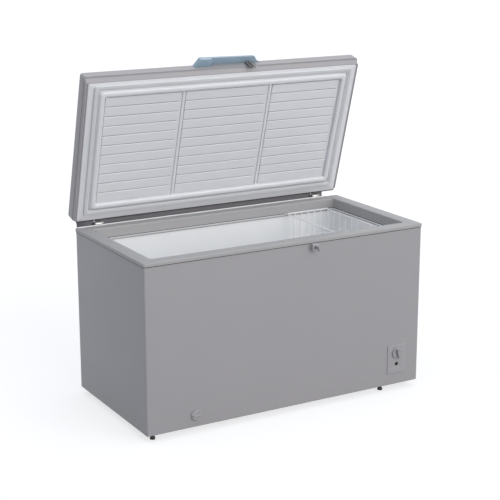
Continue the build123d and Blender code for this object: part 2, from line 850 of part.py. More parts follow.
def make_hinge_leaf(x):
    """Leaf on the back of the lid, with the knuckle that turns on the pin."""
    half = hinge_knuckle_width / 2
    low = lid_step + leaf_margin
    face = lid_back + hinge_plate
    reach = hinge_knuckle_radius - hinge_plate / 2
    outline = [
        (lid_back, low + hinge_plate), (face, low + hinge_plate),
        (hinge_y + reach / 2, hinge_z + reach * 0.7), (hinge_y - reach, hinge_z + reach * 0.3),
        (lid_back, low - 3 * hinge_plate)]
    leaf = side_profile(outline, x - half, x + half)
    leaf += bar_x(x - half, x + half, hinge_y, hinge_z, hinge_knuckle_radius)
    leaf -= bar_x(x - half - 1, x + half + 1, hinge_y, hinge_z, hinge_pin_radius + shaft_clearance)
    wide = hinge_plate_width / 2
    return leaf + block((x - wide, x + wide), (lid_back, face), (low, low + leaf_height))


def make_rear_hinge_rail():
    """Folded rail behind the hinges, notched for the leaves and cut out round the brackets."""
    x = (rail_left_inset - half_width, half_width - rail_right_inset)
    inner = hinge_y + hinge_ear_radius + hinge_gap
    outer = inner + rail_sheet
    low = hinge_z - rail_drop
    top = hinge_z + rail_rise
    foot = low - rail_flange
    rail = block(x, (inner, outer), (low, top))
    fixed = (return_flange + fit_gap - half_width, x[1])
    rail += block(fixed, (back_face, outer), (low - rail_sheet, low))
    rail += block(fixed, (back_face, back_face + rail_sheet), (foot, low))
    clear = hinge_plate_width / 2 + rail_end_gap
    notch = hinge_knuckle_width / 2 + rail_end_gap
    for place in hinge_places.values():
        rail -= block((place - clear, place + clear), (back_face - 1, inner), (foot - 1, top))
        rail -= block((place - notch, place + notch), (inner - 1, outer + 1), (hinge_z - rail_notch, top + 1))
    return rail


# Lid, drawn shut
def lid_open(shape):
    """Turn a piece of the shut lid to where the lid stands open."""
    return shape.rotate(hinge_axis, lid_open_angle)


def lid_plan(inset, z, back, radius):
    """Block of the lid's plan, drawn in by an inset from the upper band."""
    x = half_width + lid_overhang - inset
    return rounded((-x, x), (lid_front + inset, back), z, radius)


def lid_rebate(skin):
    """Step along the lower back edge of the lid, grown by a skin."""
    y = (lid_back - lid_rebate_depth - skin, half_depth)
    end = half_width + 2 * lid_overhang
    return block((-end, end), y, (lid_z, lid_z + lid_rebate_height + skin))


def lid_slope(skin):
    """Room in front of the sloping lower band, grown by a skin."""
    low = lid_z + frame_sheet
    foot = lid_front + lid_slope_depth + skin
    head = lid_front + lid_joggle + skin
    clear = lid_front - 1
    outline = [(clear, lid_z), (foot, lid_z), (foot, low), (head, lid_step), (clear, lid_step)]
    end = half_width + 2 * lid_overhang
    return side_profile(outline, -end, end)


def lid_outside():
    """Whole outside of the lid's steel."""
    upper = lid_plan(0, (lid_step, lid_top), lid_back, lid_corner_radius)
    upper = chamfer(upper.edges().group_by(Axis.Z)[-1], lid_edge_bevel)
    z = (lid_z + frame_sheet, lid_step)
    lower = lid_plan(lid_joggle, z, lid_back - lid_joggle, lid_corner_radius - lid_joggle)
    return upper + (lower - lid_slope(0)) - lid_rebate(0)


def lid_inside():
    """Space inside the lid's steel."""
    joggle = lid_joggle + sheet
    upper = lid_plan(sheet, (lid_step + sheet, lid_top - sheet), lid_back - sheet, lid_corner_radius - sheet)
    upper = chamfer(upper.edges().group_by(Axis.Z)[-1], lid_edge_bevel)
    bottom = lid_z + frame_sheet
    corner = lid_corner_radius - joggle
    lower = lid_plan(joggle, (bottom + sheet, lid_step + sheet), lid_back - joggle, corner)
    x = half_width - frame_inset - lid_hem / 2
    y = (front + frame_front_inset + lid_hem / 2, lid_back - lid_rebate_depth - lid_hem)
    mouth = rounded((-x, x), y, (bottom, bottom + sheet), corner)
    return upper + (lower - lid_slope(sheet)) - lid_rebate(sheet) + mouth


def make_lid_skin():
    """Steel pan of the lid, with a stepped skirt and a hem."""
    return lid_outside() - lid_inside()


def make_lid_insulation():
    """Foam that fills the lid."""
    return lid_inside()


def make_lid_frame():
    """Moulded frame round the underside of the lid."""
    x = half_width - frame_inset
    y = (front + frame_front_inset, lid_back - lid_rebate_depth)
    frame = rounded((-x, x), y, (lid_z, lid_z + frame_sheet), opening_radius)
    return frame - cabinet_plan(panel_inset, (lid_z - 1, lid_z + frame_sheet + 1))


def make_lid_gasket():
    """Seal that meets the rim."""
    gasket = cabinet_ring(gasket_inset, gasket_inset + gasket_width, (rim_z + seal_gap, lid_z))
    return chamfer(gasket.edges().group_by(Axis.Z)[0], gasket_radius)


def slat_panel(x):
    """Bay of overlapping slats between two values of X."""
    edge = half_depth - bead_inset - bead_width
    pitch = 2 * edge / slat_count
    points = [(-edge, lid_z)]
    for slat in range(slat_count):
        y = slat * pitch - edge
        points += [(y, lid_z - slat_low), (y + pitch, lid_z - slat_high)]
    return side_profile(points + [(edge, lid_z)], *x)


def make_lid_liner():
    """Formed inner panel with a raised bead, two dividers and three bays of slats."""
    panel = cabinet_plan(panel_inset, (lid_z, lid_z + frame_sheet))
    bead = cabinet_ring(bead_inset, bead_inset + bead_width, (lid_z - bead_height, lid_z))
    panel += chamfer(bead.edges().group_by(Axis.Z)[0], bead_radius)
    end = half_width - bead_inset - bead_width
    edge = half_depth - bead_inset - bead_width
    half = divider_width / 2
    places = [-end, -divider_offset, divider_offset, end]
    for x0, x1 in zip(places, places[1:]):
        panel += slat_panel((x0, x1))
    for x in places[1:3]:
        panel += block((x - half, x + half), (-edge, edge), (lid_z - divider_height, lid_z))
    return panel


def handle_plan(half_base, half_top, reach, z):
    """Tapered block on the front of the lid."""
    outline = make_face(Polyline(
        (-half_base, lid_front, z[0]), (half_base, lid_front, z[0]),
        (half_top, lid_front - reach, z[0]), (-half_top, lid_front - reach, z[0]), close=True))
    return extrude(outline, z[1] - z[0], dir=(0, 0, 1))


def make_lid_handle():
    """Moulded grip: a hooked lip for the fingers, with a solid left-hand end."""
    top = handle_z + handle_height
    grip = handle_plan(handle_width / 2, handle_top_width / 2, handle_reach, (handle_z, top))
    uprights = grip.edges().filter_by(Axis.Z).group_by(Axis.Y)[0]
    grip = fillet(uprights, 2 * handle_radius)
    grip = chamfer(grip.edges().group_by(Axis.Z)[-1].group_by(Axis.Y)[0], handle_radius / 2)
    outer = lid_front - handle_reach - 1
    near = lid_front + 1
    low = handle_z - 1
    outline = [(outer, low), (near, low), (near, top - handle_root), (outer, top - handle_tip)]
    gap = side_profile(outline, handle_solid - handle_width / 2, handle_width / 2 + 1)
    return Pos(handle_x, 0, 0) * (grip - gap)


def make_lock_striker():
    """Bracket in the handle, with the tongue that goes down into the lock."""
    tip = lock_z + spindle_radius + 1
    high = lid_step + lid_band / 2
    near = tongue_y - tongue_width / 2
    far = tongue_y + tongue_width / 2
    foot = lid_step + leaf_margin
    outline = [(near, tip), (far, tip), (far, foot), (lid_front, foot), (lid_front, high), (near, high)]
    half = tongue_sheet / 2
    striker = side_profile(outline, -half, half)
    window = (tongue_y - hook_sheet / 2 - 1, tongue_y + hook_sheet / 2 + 1)
    caught = (lock_z + hook_inner - window_room, lock_z + hook_outer + window_room)
    striker -= block((-tongue_sheet, tongue_sheet), window, caught)
    plate = block((-4 * half, 4 * half), (lid_front - tongue_sheet, lid_front), (foot, high))
    return Pos(lock_x, 0, 0) * (striker + plate)


# Basket
def make_wire_basket():
    """Basket of welded wires that hangs from two rails on the ledge."""
    r = wire_radius
    high = ledge_z + fit_gap + rail_wire_radius
    low = high - basket_height
    end = half_depth - liner_inset - basket_end_gap
    rest = half_depth - rim_width - rim_wall
    x0 = basket_left + rail_wire_radius + r
    x1 = basket_right - rail_wire_radius - r
    wires = [wire((x, -rest, high), (x, rest, high), rail_wire_radius) for x in (basket_left, basket_right)]
    first = 4 * r - end
    for i in range(side_wires):
        y = first - 2 * first * i / (side_wires - 1)
        wires += [wire((x, y, low + r), (x, y, high), r) for x in (x0, x1)]
        wires.append(wire((x0 - r, y, low), (x1 + r, y, low), r))
    gap = (x1 - x0) / (end_wires + 1)
    for i in range(end_wires):
        x = x0 + (i + 1) * gap
        wires += [wire((x, y, low - r), (x, y, high - rail_wire_radius + r), r) for y in (-end, end)]
        wires.append(wire((x, r - end, low - 2 * r), (x, end - r, low - 2 * r), r))
    middle = (high + low) / 2
    for y, way in ((-end, 2 * r), (end, -2 * r)):
        top = high + rail_wire_radius + r
        wires.append(wire((basket_left, y, top), (basket_right, y, top), r))
        wires.append(wire((x0 - 2 * r, y + way, middle), (x1 + 2 * r, y + way, middle), r))
    for x in (x0 - 2 * r, x1 + 2 * r):
        wires += [wire((x, -end, z), (x, end, z), r) for z in (low, middle + 2 * r)]
    return group(wires)


# Feet
foot_places = {
    "front_left": (foot_left_inset - half_width, front + foot_front_inset),
    "front_right": (half_width - foot_right_inset, front + foot_front_inset),
    "rear_left": (foot_left_inset - half_width, half_depth - foot_front_inset),
    "rear_right": (half_width - foot_right_inset, half_depth - foot_front_inset),
}


def make_foot_nuts():
    """Hexagon nuts under the base, one at each foot."""
    nut = extrude(RegularPolygon(foot_nut_size / 2, 6, major_radius=False), foot_nut_height)
    nut = Pos(0, 0, pan_z - foot_nut_height) * nut
    nut -= extrude(flat_section(foot_stud_radius + fit_gap, pipe_sides), 2 * pan_z)
    return group(Pos(x, y, 0) * nut for x, y in foot_places.values())


def make_foot(x, y):
    """Levelling foot: pad and stud."""
    pad = extrude(flat_section(foot_pad_radius, turned_sides), foot_pad_height)
    pad = chamfer(pad.edges().group_by(Axis.Z)[-1], foot_pad_bevel)
    stud = extrude(RegularPolygon(foot_stud_radius, turned_sides), pan_z - fit_gap - foot_pad_height)
    return Pos(x, y, 0) * (pad + Pos(0, 0, foot_pad_height) * stud)


nodes = {
    "cabinet_wrap": make_cabinet_wrap(),
    "back_panel": make_back_panel(),
    "base_pan": make_base_pan(),
    "compressor_bay_panel": make_compressor_bay_panel(),
    "compressor_tray": make_compressor_tray(),
    "wall_insulation": make_wall_insulation(),
    "inner_liner": make_inner_liner(),
    "top_rim": make_top_rim(),
    "evaporator_tubing": make_evaporator_tubing(),
    "condenser_tubing": make_condenser_tubing(),
    "compressor_shell": make_compressor_shell(),
    "compressor_bracket": make_compressor_bracket(),
    "compressor_grommets": make_compressor_grommets(),
    "relay_cover": make_relay_cover(),
    "discharge_pipe": make_discharge_pipe(),
    "suction_pipe": make_suction_pipe(),
    "filter_drier": make_filter_drier(),
    "liquid_pipes": make_liquid_pipes(),
    "side_vent": make_side_vent(),
    "rear_bay_cover": make_rear_bay_cover(),
    "cord_gland": make_cord_gland(),
    "control_plate": make_control_plate(),
    "thermostat": make_thermostat(),
    "thermostat_knob": make_thermostat_knob(),
    "indicator_lamp": make_indicator_lamp(),
    "drain_pipe": make_drain_pipe(),
    "drain_plug": make_drain_plug(),
    "lock_body": make_lock_body(),
    "lock_barrel": make_lock_barrel(),
    "lock_key": make_lock_key(),
    "rear_hinge_rail": make_rear_hinge_rail(),
    "wire_basket": make_wire_basket(),
    "foot_nuts": make_foot_nuts(),
    "lid_skin": lid_open(make_lid_skin()),
    "lid_insulation": lid_open(make_lid_insulation()),
    "lid_frame": lid_open(make_lid_frame()),
    "lid_liner": lid_open(make_lid_liner()),
    "lid_gasket": lid_open(make_lid_gasket()),
    "lid_handle": lid_open(make_lid_handle()),
    "lock_striker": lid_open(make_lock_striker()),
}
for side, x in hinge_places.items():
    nodes[f"{side}_hinge_bracket"] = make_hinge_bracket(x)
    nodes[f"{side}_hinge_pin"] = make_hinge_pin(x)
    nodes[f"{side}_hinge_leaf"] = lid_open(make_hinge_leaf(x))
for place, (x, y) in foot_places.items():
    nodes[f"{place}_foot"] = make_foot(x, y)

os.makedirs("parts", exist_ok=True)
for name, shape in nodes.items():
    export_step(shape, f"parts/{name}.step")
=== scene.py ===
"""Looks of a chest freezer: smooth shells, the moulded lid panel, the basket, the fittings and the finishes.

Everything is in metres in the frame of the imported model: +X right, +Y back, +Z up, floor at Z 0. Pieces
of the lid are modelled shut and then turned about the hinge to where the lid stands open.
"""

import json
import logging
import math
from collections.abc import Callable, Iterable, Iterator, Sequence
from contextlib import contextmanager
from dataclasses import dataclass
from enum import Enum

import bmesh
import bpy
from mathutils import Matrix, Vector


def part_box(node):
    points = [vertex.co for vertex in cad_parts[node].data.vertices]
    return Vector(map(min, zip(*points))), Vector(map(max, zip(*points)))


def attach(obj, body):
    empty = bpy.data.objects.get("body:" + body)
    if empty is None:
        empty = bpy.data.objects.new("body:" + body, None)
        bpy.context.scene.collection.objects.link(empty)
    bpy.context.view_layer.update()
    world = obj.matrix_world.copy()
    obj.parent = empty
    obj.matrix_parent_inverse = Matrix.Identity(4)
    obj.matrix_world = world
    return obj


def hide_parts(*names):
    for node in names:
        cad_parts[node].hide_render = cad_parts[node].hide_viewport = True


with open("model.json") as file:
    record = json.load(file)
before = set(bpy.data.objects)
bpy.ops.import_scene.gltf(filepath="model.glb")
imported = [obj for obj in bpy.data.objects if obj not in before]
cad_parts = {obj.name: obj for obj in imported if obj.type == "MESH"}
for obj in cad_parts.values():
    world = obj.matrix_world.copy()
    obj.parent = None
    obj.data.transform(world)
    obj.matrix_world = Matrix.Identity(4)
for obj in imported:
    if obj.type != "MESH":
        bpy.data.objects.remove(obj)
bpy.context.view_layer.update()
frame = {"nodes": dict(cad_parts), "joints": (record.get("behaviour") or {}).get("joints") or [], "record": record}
RECORD = frame["record"]
NODE_BODY = {node: body for body, nodes in RECORD["behaviour"]["bodies"].items() for node in nodes}
NODE_SLOT = {part["node"]: part["material_slot"] for part in RECORD["subparts"]}
LID_HINGE = next(joint for joint in frame["joints"] if joint["name"] == "lid_hinge")
HINGE_POINT = Vector(LID_HINGE["pos_m"])
LID_ANGLE = math.radians(-LID_HINGE["range_deg"][0])
LID_OPEN = (
    Matrix.Translation(HINGE_POINT)
    @ Matrix.Rotation(LID_ANGLE, 4, Vector(LID_HINGE["axis"]))
    @ Matrix.Translation(-HINGE_POINT)
)
SMOOTH_ANGLE = math.radians(34)
MERGE = 1e-6
NEAR = 1e-4
OVERLAP = 0.0002
WHITE = (1, 1, 1, 1)
FRONT, BACK = (0, -1, 0), (0, 1, 0)
RIGHT, UP, DOWN = (1, 0, 0), (0, 0, 1), (0, 0, -1)
LOG = logging.getLogger("freezer")

Loop = list[Vector]
Pair = tuple[float, float]
Triple = tuple[float, float, float]
Piece = bpy.types.Object
Tree = bpy.types.NodeTree
Socket = bpy.types.NodeSocket
Edge = bmesh.types.BMEdge


# Finishes
class Pattern(Enum):
    """Surface relief of a finish."""

    PEEL = "orange peel of sprayed paint"
    GRAIN = "fine grain of a moulding"
    STUCCO = "embossed sheet"
    SPANGLE = "crystals of a zinc coat"
    BRUSHED = "lines drawn along X"
    PORES = "open cells of foam"


def linear(colour: Sequence[float]) -> tuple[float, float, float, float]:
    """Turn a screen colour into the shader's linear one.

    Args:
        colour: Red, green and blue from 0 to 255.

    Returns:
        Linear red, green, blue and an alpha of 1.
    """
    parts = [c / 255 for c in colour]
    flat = [p / 12.92 if p <= 0.04045 else ((p + 0.055) / 1.055) ** 2.4 for p in parts]
    return (*flat, 1.0)


def feed(tree: Tree, node: bpy.types.Node, inputs: dict[str | int, object]) -> None:
    """Give a node's inputs their values or links.

    Args:
        tree: Node tree of the node.
        node: The node.
        inputs: A value or a socket for each input.
    """
    for key, value in inputs.items():
        if isinstance(value, Socket):
            tree.links.new(value, node.inputs[key])
        else:
            node.inputs[key].default_value = value


def add_node(
    tree: Tree, kind: str, inputs: dict[str | int, object], **options: object
) -> bpy.types.Node:
    """Add a shader node.

    Args:
        tree: Node tree that takes it.
        kind: Its type, without the leading words that all types share.
        inputs: A value or a socket for each input.
        **options: Its other settings.

    Returns:
        The node.
    """
    node = tree.nodes.new("ShaderNode" + kind)
    for key, value in options.items():
        setattr(node, key, value)
    feed(tree, node, inputs)
    return node


@dataclass(frozen=True)
class Finish:
    """One surface finish, made as a procedural material."""

    name: str  # Name of the material
    colour: tuple[int, int, int]  # Screen colour, 0 to 255
    roughness: float  # Middle of the roughness
    pattern: Pattern  # Kind of relief
    pitch: float  # Size of one grain of the relief
    relief: float  # Height of the relief
    metallic: float = 0.0  # 1 for bare metal
    mottle: float = 0.04  # Share by which the colour drifts over the surface
    mottle_size: float = 0.18  # Size of the patches of that drift
    coat: float = 0.0  # Weight of a clear coat
    specular: float = 0.5  # Specular level of the shader

    def material(self) -> bpy.types.Material:
        """Return the material, made on first use."""
        found = bpy.data.materials.get(self.name)
        return found or self._make()

    def _make(self) -> bpy.types.Material:
        """Build the node tree: drift of colour and roughness, and relief.

        Returns:
            The new material.
        """
        made = bpy.data.materials.new(self.name)
        made.use_nodes = True
        tree = made.node_tree
        place = add_node(tree, "TexCoord", {}).outputs["Object"]
        patches = self._noise(tree, place, self.mottle_size, 4.0)
        shade = patches
        if self.pattern is Pattern.SPANGLE:
            shade = self._cells(tree, place).outputs["Color"]
        base = linear(self.colour)[:3]
        dark = (*(c * (1 - self.mottle) for c in base), 1.0)
        pale = (*(min(1, c * (1 + self.mottle)) for c in base), 1.0)
        colour = add_node(tree, "Mix", {"A": dark, "B": pale, "Factor": shade}, data_type="RGBA")
        low, high = self.roughness * 0.85, min(1.0, self.roughness * 1.15)
        spread = add_node(tree, "MapRange", {"To Min": low, "To Max": high, "Value": patches})
        bump = add_node(tree, "Bump", {"Distance": self.relief, "Height": self._relief(tree, place)})
        feed(tree, tree.nodes["Principled BSDF"], {
            "Metallic": self.metallic, "Specular IOR Level": self.specular, "Coat Weight": self.coat,
            "Base Color": colour.outputs["Result"], "Roughness": spread.outputs["Result"],
            "Normal": bump.outputs["Normal"]})
        return made

    @staticmethod
    def _noise(
        tree: Tree, place: Socket, size: float, detail: float
    ) -> Socket:
        """Add a noise of the given grain size and return its value."""
        noise = add_node(tree, "TexNoise", {"Scale": 1 / size, "Detail": detail, "Vector": place})
        return noise.outputs["Fac"]

    def _cells(self, tree: Tree, place: Socket) -> bpy.types.Node:
        """Add cells of the finish's pitch and return their node."""
        return add_node(tree, "TexVoronoi", {"Scale": 1 / self.pitch, "Vector": place})

    def _relief(self, tree: Tree, place: Socket) -> Socket:
        """Add the relief of the finish's pattern.

        Args:
            tree: Node tree of the material.
            place: Coordinates that the pattern reads.

        Returns:
            Its height.
        """
        if self.pattern in (Pattern.STUCCO, Pattern.PORES, Pattern.SPANGLE):
            return self._cells(tree, place).outputs["Distance"]
        if self.pattern is Pattern.BRUSHED:
            place = add_node(tree, "Mapping", {"Scale": (0.02, 1.0, 1.0), "Vector": place}).outputs["Vector"]
        return self._noise(tree, place, self.pitch, 2.0)


PAINT_GREY = (160, 158, 161)
FINISHES: dict[str, Finish] = {
    "wrap_paint": Finish("satin_grey_paint", PAINT_GREY, 0.42, Pattern.PEEL, 0.0016, 0.00002, mottle=0.015),
    "galvanised": Finish(
        "zinc_sheet", (176, 179, 182), 0.38, Pattern.SPANGLE, 0.012, 0.00001, metallic=0.9, mottle=0.12),
    "foam": Finish("cream_foam", (228, 214, 168), 0.9, Pattern.PORES, 0.0009, 0.0004, mottle=0.08),
    "liner_sheet": Finish(
        "white_embossed_liner", (242, 243, 244), 0.34, Pattern.STUCCO, 0.0035, 0.00012, mottle=0.012),
    "rim_plastic": Finish(
        "grey_rim_moulding", (163, 162, 163), 0.46, Pattern.GRAIN, 0.0007, 0.00003, mottle=0.015),
    "lid_plastic": Finish(
        "pale_lid_moulding", (224, 225, 229), 0.3, Pattern.GRAIN, 0.0009, 0.00002, mottle=0.012),
    "gasket_rubber": Finish(
        "pale_seal_rubber", (217, 218, 221), 0.58, Pattern.GRAIN, 0.0006, 0.00004, mottle=0.03),
    "handle_plastic": Finish(
        "blue_grey_handle", (152, 174, 191), 0.3, Pattern.GRAIN, 0.0006, 0.00002, mottle=0.03, coat=0.25),
    "hinge_steel": Finish(
        "zinc_plated_steel", (186, 186, 185), 0.36, Pattern.BRUSHED, 0.0004, 0.00002, metallic=0.85,
        mottle=0.07, mottle_size=0.02),
    # Dark grey of the hinge rail: painted shade, the tone of the shaded gap behind the lid.
    "rail_steel": Finish(
        "dark_grey_rail_paint", (104, 103, 108), 0.5, Pattern.PEEL, 0.0014, 0.00003, mottle=0.04),
    "lock_metal": Finish(
        "satin_grey_nickel", (170, 169, 172), 0.5, Pattern.BRUSHED, 0.0003, 0.00001, mottle=0.04,
        mottle_size=0.01),
    "control_plastic": Finish(
        "grey_control_moulding", (160, 158, 161), 0.4, Pattern.GRAIN, 0.0005, 0.00003, mottle=0.02,
        mottle_size=0.05),
    "lamp_dark": Finish("black_lens", (8, 8, 9), 0.3, Pattern.GRAIN, 0.001, 0.000005, specular=0.2),
    "drain_plastic": Finish(
        "grey_drain_moulding", (161, 160, 163), 0.42, Pattern.GRAIN, 0.0005, 0.00003, mottle=0.02,
        mottle_size=0.05),
    "basket_wire": Finish(
        "white_coated_wire", (250, 250, 251), 0.32, Pattern.PEEL, 0.002, 0.00004, mottle=0.02),
    "compressor_paint": Finish("black_compressor_paint", (30, 30, 32), 0.42, Pattern.PEEL, 0.002, 0.00005),
    "black_rubber": Finish("black_rubber", (26, 26, 27), 0.75, Pattern.GRAIN, 0.0008, 0.00006, mottle=0.1),
    "black_plastic": Finish(
        "black_moulding", (30, 30, 32), 0.42, Pattern.GRAIN, 0.0006, 0.00003, mottle=0.06),
    "vent_plastic": Finish(
        "grey_vent_moulding", (150, 150, 153), 0.45, Pattern.GRAIN, 0.0006, 0.00003, mottle=0.02),
    "copper": Finish(
        "drawn_copper", (196, 124, 88), 0.3, Pattern.BRUSHED, 0.0005, 0.00001, metallic=1.0, mottle=0.12,
        mottle_size=0.03),
    "nut_steel": Finish(
        "zinc_nut_steel", (170, 168, 160), 0.34, Pattern.BRUSHED, 0.0004, 0.00001, metallic=1.0, mottle=0.08,
        mottle_size=0.01),
}
PRINT_INK = Finish("dark_grey_ink", (92, 92, 96), 0.5, Pattern.GRAIN, 0.0006, 0.00001)
DARK_NICKEL = Finish("dark_worn_nickel", (112, 111, 114), 0.5, Pattern.BRUSHED, 0.0003, 0.00001, metallic=0.3)
# Dark grey that stands in for shade: painted shadow under the rim's lip, painted shade at the collar's foot and in
# the lid's rear rebate.
SHADE_LINE = Finish("dark_grey_joint", (72, 73, 78), 0.8, Pattern.GRAIN, 0.0008, 0.00003)
# Grey painted shade in the grooves between the slats of the lid's panel.
GROOVE_SHADE = Finish("grey_groove", (146, 147, 152), 0.8, Pattern.GRAIN, 0.0008, 0.00003)


# Modelling by operators
def activate(piece: Piece) -> None:
    """Make one piece the only selected and active object.

    Args:
        piece: The piece.
    """
    bpy.ops.object.select_all(action="DESELECT")
    piece.select_set(True)
    bpy.context.view_layer.objects.active = piece


@contextmanager
def editing(piece: Piece) -> Iterator[None]:
    """Hold a piece in edit mode with everything selected.

    Args:
        piece: The piece.

    Yields:
        Nothing, while the piece is in edit mode.
    """
    activate(piece)
    bpy.ops.object.mode_set(mode="EDIT")
    bpy.ops.mesh.select_all(action="SELECT")
    yield
    bpy.ops.object.mode_set(mode="OBJECT")


def pick(piece: Piece, kind: str, wanted: Callable[..., bool]) -> None:
    """Select the edges or faces that pass a test, in edit mode.

    Args:
        piece: The piece, in edit mode.
        kind: The word edges or faces.
        wanted: Test of one edge or face.
    """
    bpy.context.tool_settings.mesh_select_mode = (False, kind == "edges", kind == "faces")
    bpy.ops.mesh.select_all(action="DESELECT")
    mesh = bmesh.from_edit_mesh(piece.data)
    for part in getattr(mesh, kind):
        part.select_set(wanted(part))
    bmesh.update_edit_mesh(piece.data)


def facing(face: bmesh.types.BMFace, way: Sequence[float]) -> bool:
    """Tell whether a face looks along a direction."""
    return face.normal.dot(Vector(way)) > 0.99


def edge_way(edge: Edge) -> Vector:
    """Return the direction of an edge, with positive parts."""
    run = edge.verts[1].co - edge.verts[0].co
    return Vector(map(abs, run.normalized()))


def edge_middle(edge: Edge) -> Vector:
    """Return the middle of an edge."""
    return (edge.verts[0].co + edge.verts[1].co) / 2


def settle(piece: Piece) -> Piece:
    """Put a piece's place into its mesh and shade it smooth up to a crease.

    Args:
        piece: The piece.

    Returns:
        The piece.
    """
    activate(piece)
    bpy.ops.object.transform_apply(location=True, rotation=True, scale=True)
    bpy.ops.object.shade_smooth_by_angle(angle=SMOOTH_ANGLE)
    return piece


def apply_modifier(piece: Piece, kind: str, **values: object) -> None:
    """Add one modifier with the given settings and apply it.

    Args:
        piece: The piece.
        kind: Type of the modifier.
        **values: Its settings.
    """
    activate(piece)
    modifier = piece.modifiers.new(kind.lower(), kind)
    for key, value in values.items():
        setattr(modifier, key, value)
    bpy.ops.object.modifier_apply(modifier=modifier.name)


def block(name: str, low: Sequence[float], high: Sequence[float]) -> Piece:
    """Add a cube primitive between two corners.

    Args:
        name: Name of the piece.
        low: Its lowest corner.
        high: Its highest corner.

    Returns:
        The block.
    """
    low, high = Vector(low), Vector(high)
    bpy.ops.object.select_all(action="DESELECT")
    bpy.ops.mesh.primitive_cube_add(size=1, location=(low + high) / 2, scale=high - low)
    piece = bpy.context.object
    piece.name = name
    activate(piece)
    bpy.ops.object.transform_apply(location=True, rotation=True, scale=True)
    return piece


def round_edges(piece: Piece, width: float, segments: int = 3, angle: float = 40.0) -> None:
    """Bevel every edge of a piece that is sharper than an angle in degrees."""
    apply_modifier(
        piece, "BEVEL", width=width, segments=segments, limit_method="ANGLE", angle_limit=math.radians(angle))


def join(name: str, pieces: Sequence[Piece]) -> Piece:
    """Join pieces into the first of them under a name.

    Args:
        name: Name of the piece.
        pieces: The pieces, of which the first one stays.

    Returns:
        The joined piece.
    """
    activate(pieces[0])
    for piece in pieces[1:]:
        piece.select_set(True)
    bpy.ops.object.join()
    pieces[0].name = name
    return pieces[0]


def copy_of(piece: Piece, name: str) -> Piece:
    """Copy a piece with a mesh of its own.

    Args:
        piece: The piece.
        name: Name of the copy.

    Returns:
        The copy.
    """
    made = piece.copy()
    made.data = piece.data.copy()
    made.name = name
    bpy.context.scene.collection.objects.link(made)
    return made


def loft(name: str, loops: Sequence[Loop], ring: bool = False) -> Piece:
    """Model a form by extruding one outline through a row of loops.

    Args:
        name: Name of the piece.
        loops: Loops with as many points each, in order.
        ring: Whether the last loop meets the first, as round a frame.

    Returns:
        The piece, with its normals facing out.
    """
    bpy.ops.object.select_all(action="DESELECT")
    bpy.ops.mesh.primitive_circle_add(vertices=len(loops[0]), fill_type="NGON")
    piece = bpy.context.object
    piece.name = name
    with editing(piece):
        mesh = bmesh.from_edit_mesh(piece.data)
        mesh.verts.ensure_lookup_table()
        for vert, point in zip(mesh.verts, loops[0]):
            vert.co = point
        bmesh.update_edit_mesh(piece.data)
        bpy.context.tool_settings.mesh_select_mode = (False, False, True)
        for last, loop in zip(loops, loops[1:]):
            bpy.ops.mesh.extrude_region_move()
            mesh = bmesh.from_edit_mesh(piece.data)
            front = next(face for face in mesh.faces if face.select)
            for vert in front.verts:
                nearest = min(range(len(last)), key=lambda i: (last[i] - vert.co).length_squared)
                vert.co = loop[nearest]
            bmesh.update_edit_mesh(piece.data)
        if ring:
            pick(piece, "faces", lambda face: len(face.verts) > 4)
            bpy.ops.mesh.delete(type="FACE")
        bpy.ops.mesh.select_all(action="SELECT")
        bpy.ops.mesh.remove_doubles(threshold=MERGE)
        bpy.ops.mesh.normals_make_consistent(inside=False)
    return settle(piece)


@dataclass(frozen=True)
class Plan:
    """Rectangle in plan that rings are drawn in from."""

    left: float  # Lowest X
    right: float  # Highest X
    near: float  # Lowest Y
    far: float  # Highest Y

    def loop(
        self, inset: float, height: float, radius: float, far_inset: float | None = None,
        near_inset: float | None = None,
    ) -> Loop:
        """Return a rounded loop drawn in from the plan.

        Args:
            inset: How far in the loop stands, on all sides.
            height: Its Z.
            radius: Radius of its corners.
            far_inset: Inset of the far side where that differs.
            near_inset: Inset of the near side where that differs.

        Returns:
            Points of the loop, a fixed count at each corner.
        """
        steps = 8
        far = self.far - (inset if far_inset is None else far_inset)
        xs = (self.left + inset + radius, self.right - inset - radius)
        near = self.near + (inset if near_inset is None else near_inset)
        ys = (near + radius, far - radius)
        centres = ((xs[1], ys[1]), (xs[0], ys[1]), (xs[0], ys[0]), (xs[1], ys[0]))
        points = []
        for quarter, (x, y) in enumerate(centres):
            for step in range(steps + 1):
                turn = math.radians(90 * (quarter + step / steps))
                points.append(Vector((x + radius * math.cos(turn), y + radius * math.sin(turn), height)))
        return points

    @classmethod
    def of(cls, box: tuple[Vector, Vector]) -> "Plan":
        """Return the plan of a box."""
        return cls(box[0].x, box[1].x, box[0].y, box[1].y)


def arc(inset: float, height: float, radius: float, start: float, end: float, steps: int = 5) -> list[tuple]:
    """Return points of a profile along an arc.

    Args:
        inset: Inset of the arc's middle.
        height: Height of the arc's middle.
        radius: Its radius.
        start: First angle in degrees, from inwards towards up.
        end: Last angle in degrees.
        steps: Number of chords.

    Returns:
        Pairs of inset and height.
    """
    turns = [math.radians(start + (end - start) * i / steps) for i in range(steps + 1)]
    return [(inset + radius * math.cos(turn), height + radius * math.sin(turn)) for turn in turns]


def turned(
    name: str, profile: Sequence[Pair], base: Sequence[float], axis: Sequence[float], sides: int = 40
) -> Piece:
    """Model a round form through pairs of radius and height along an axis.

    Args:
        name: Name of the piece.
        profile: Pairs of radius and height.
        base: Point at height 0.
        axis: Direction of the height.
        sides: Points round each loop.

    Returns:
        The piece.
    """
    way = Matrix.Translation(base) @ Vector(axis).to_track_quat("Z", "Y").to_matrix().to_4x4()
    loops = []
    for radius, height in profile:
        turns = [2 * math.pi * i / sides for i in range(sides)]
        loops.append([way @ Vector((radius * math.cos(t), radius * math.sin(t), height)) for t in turns])
    return loft(name, loops)


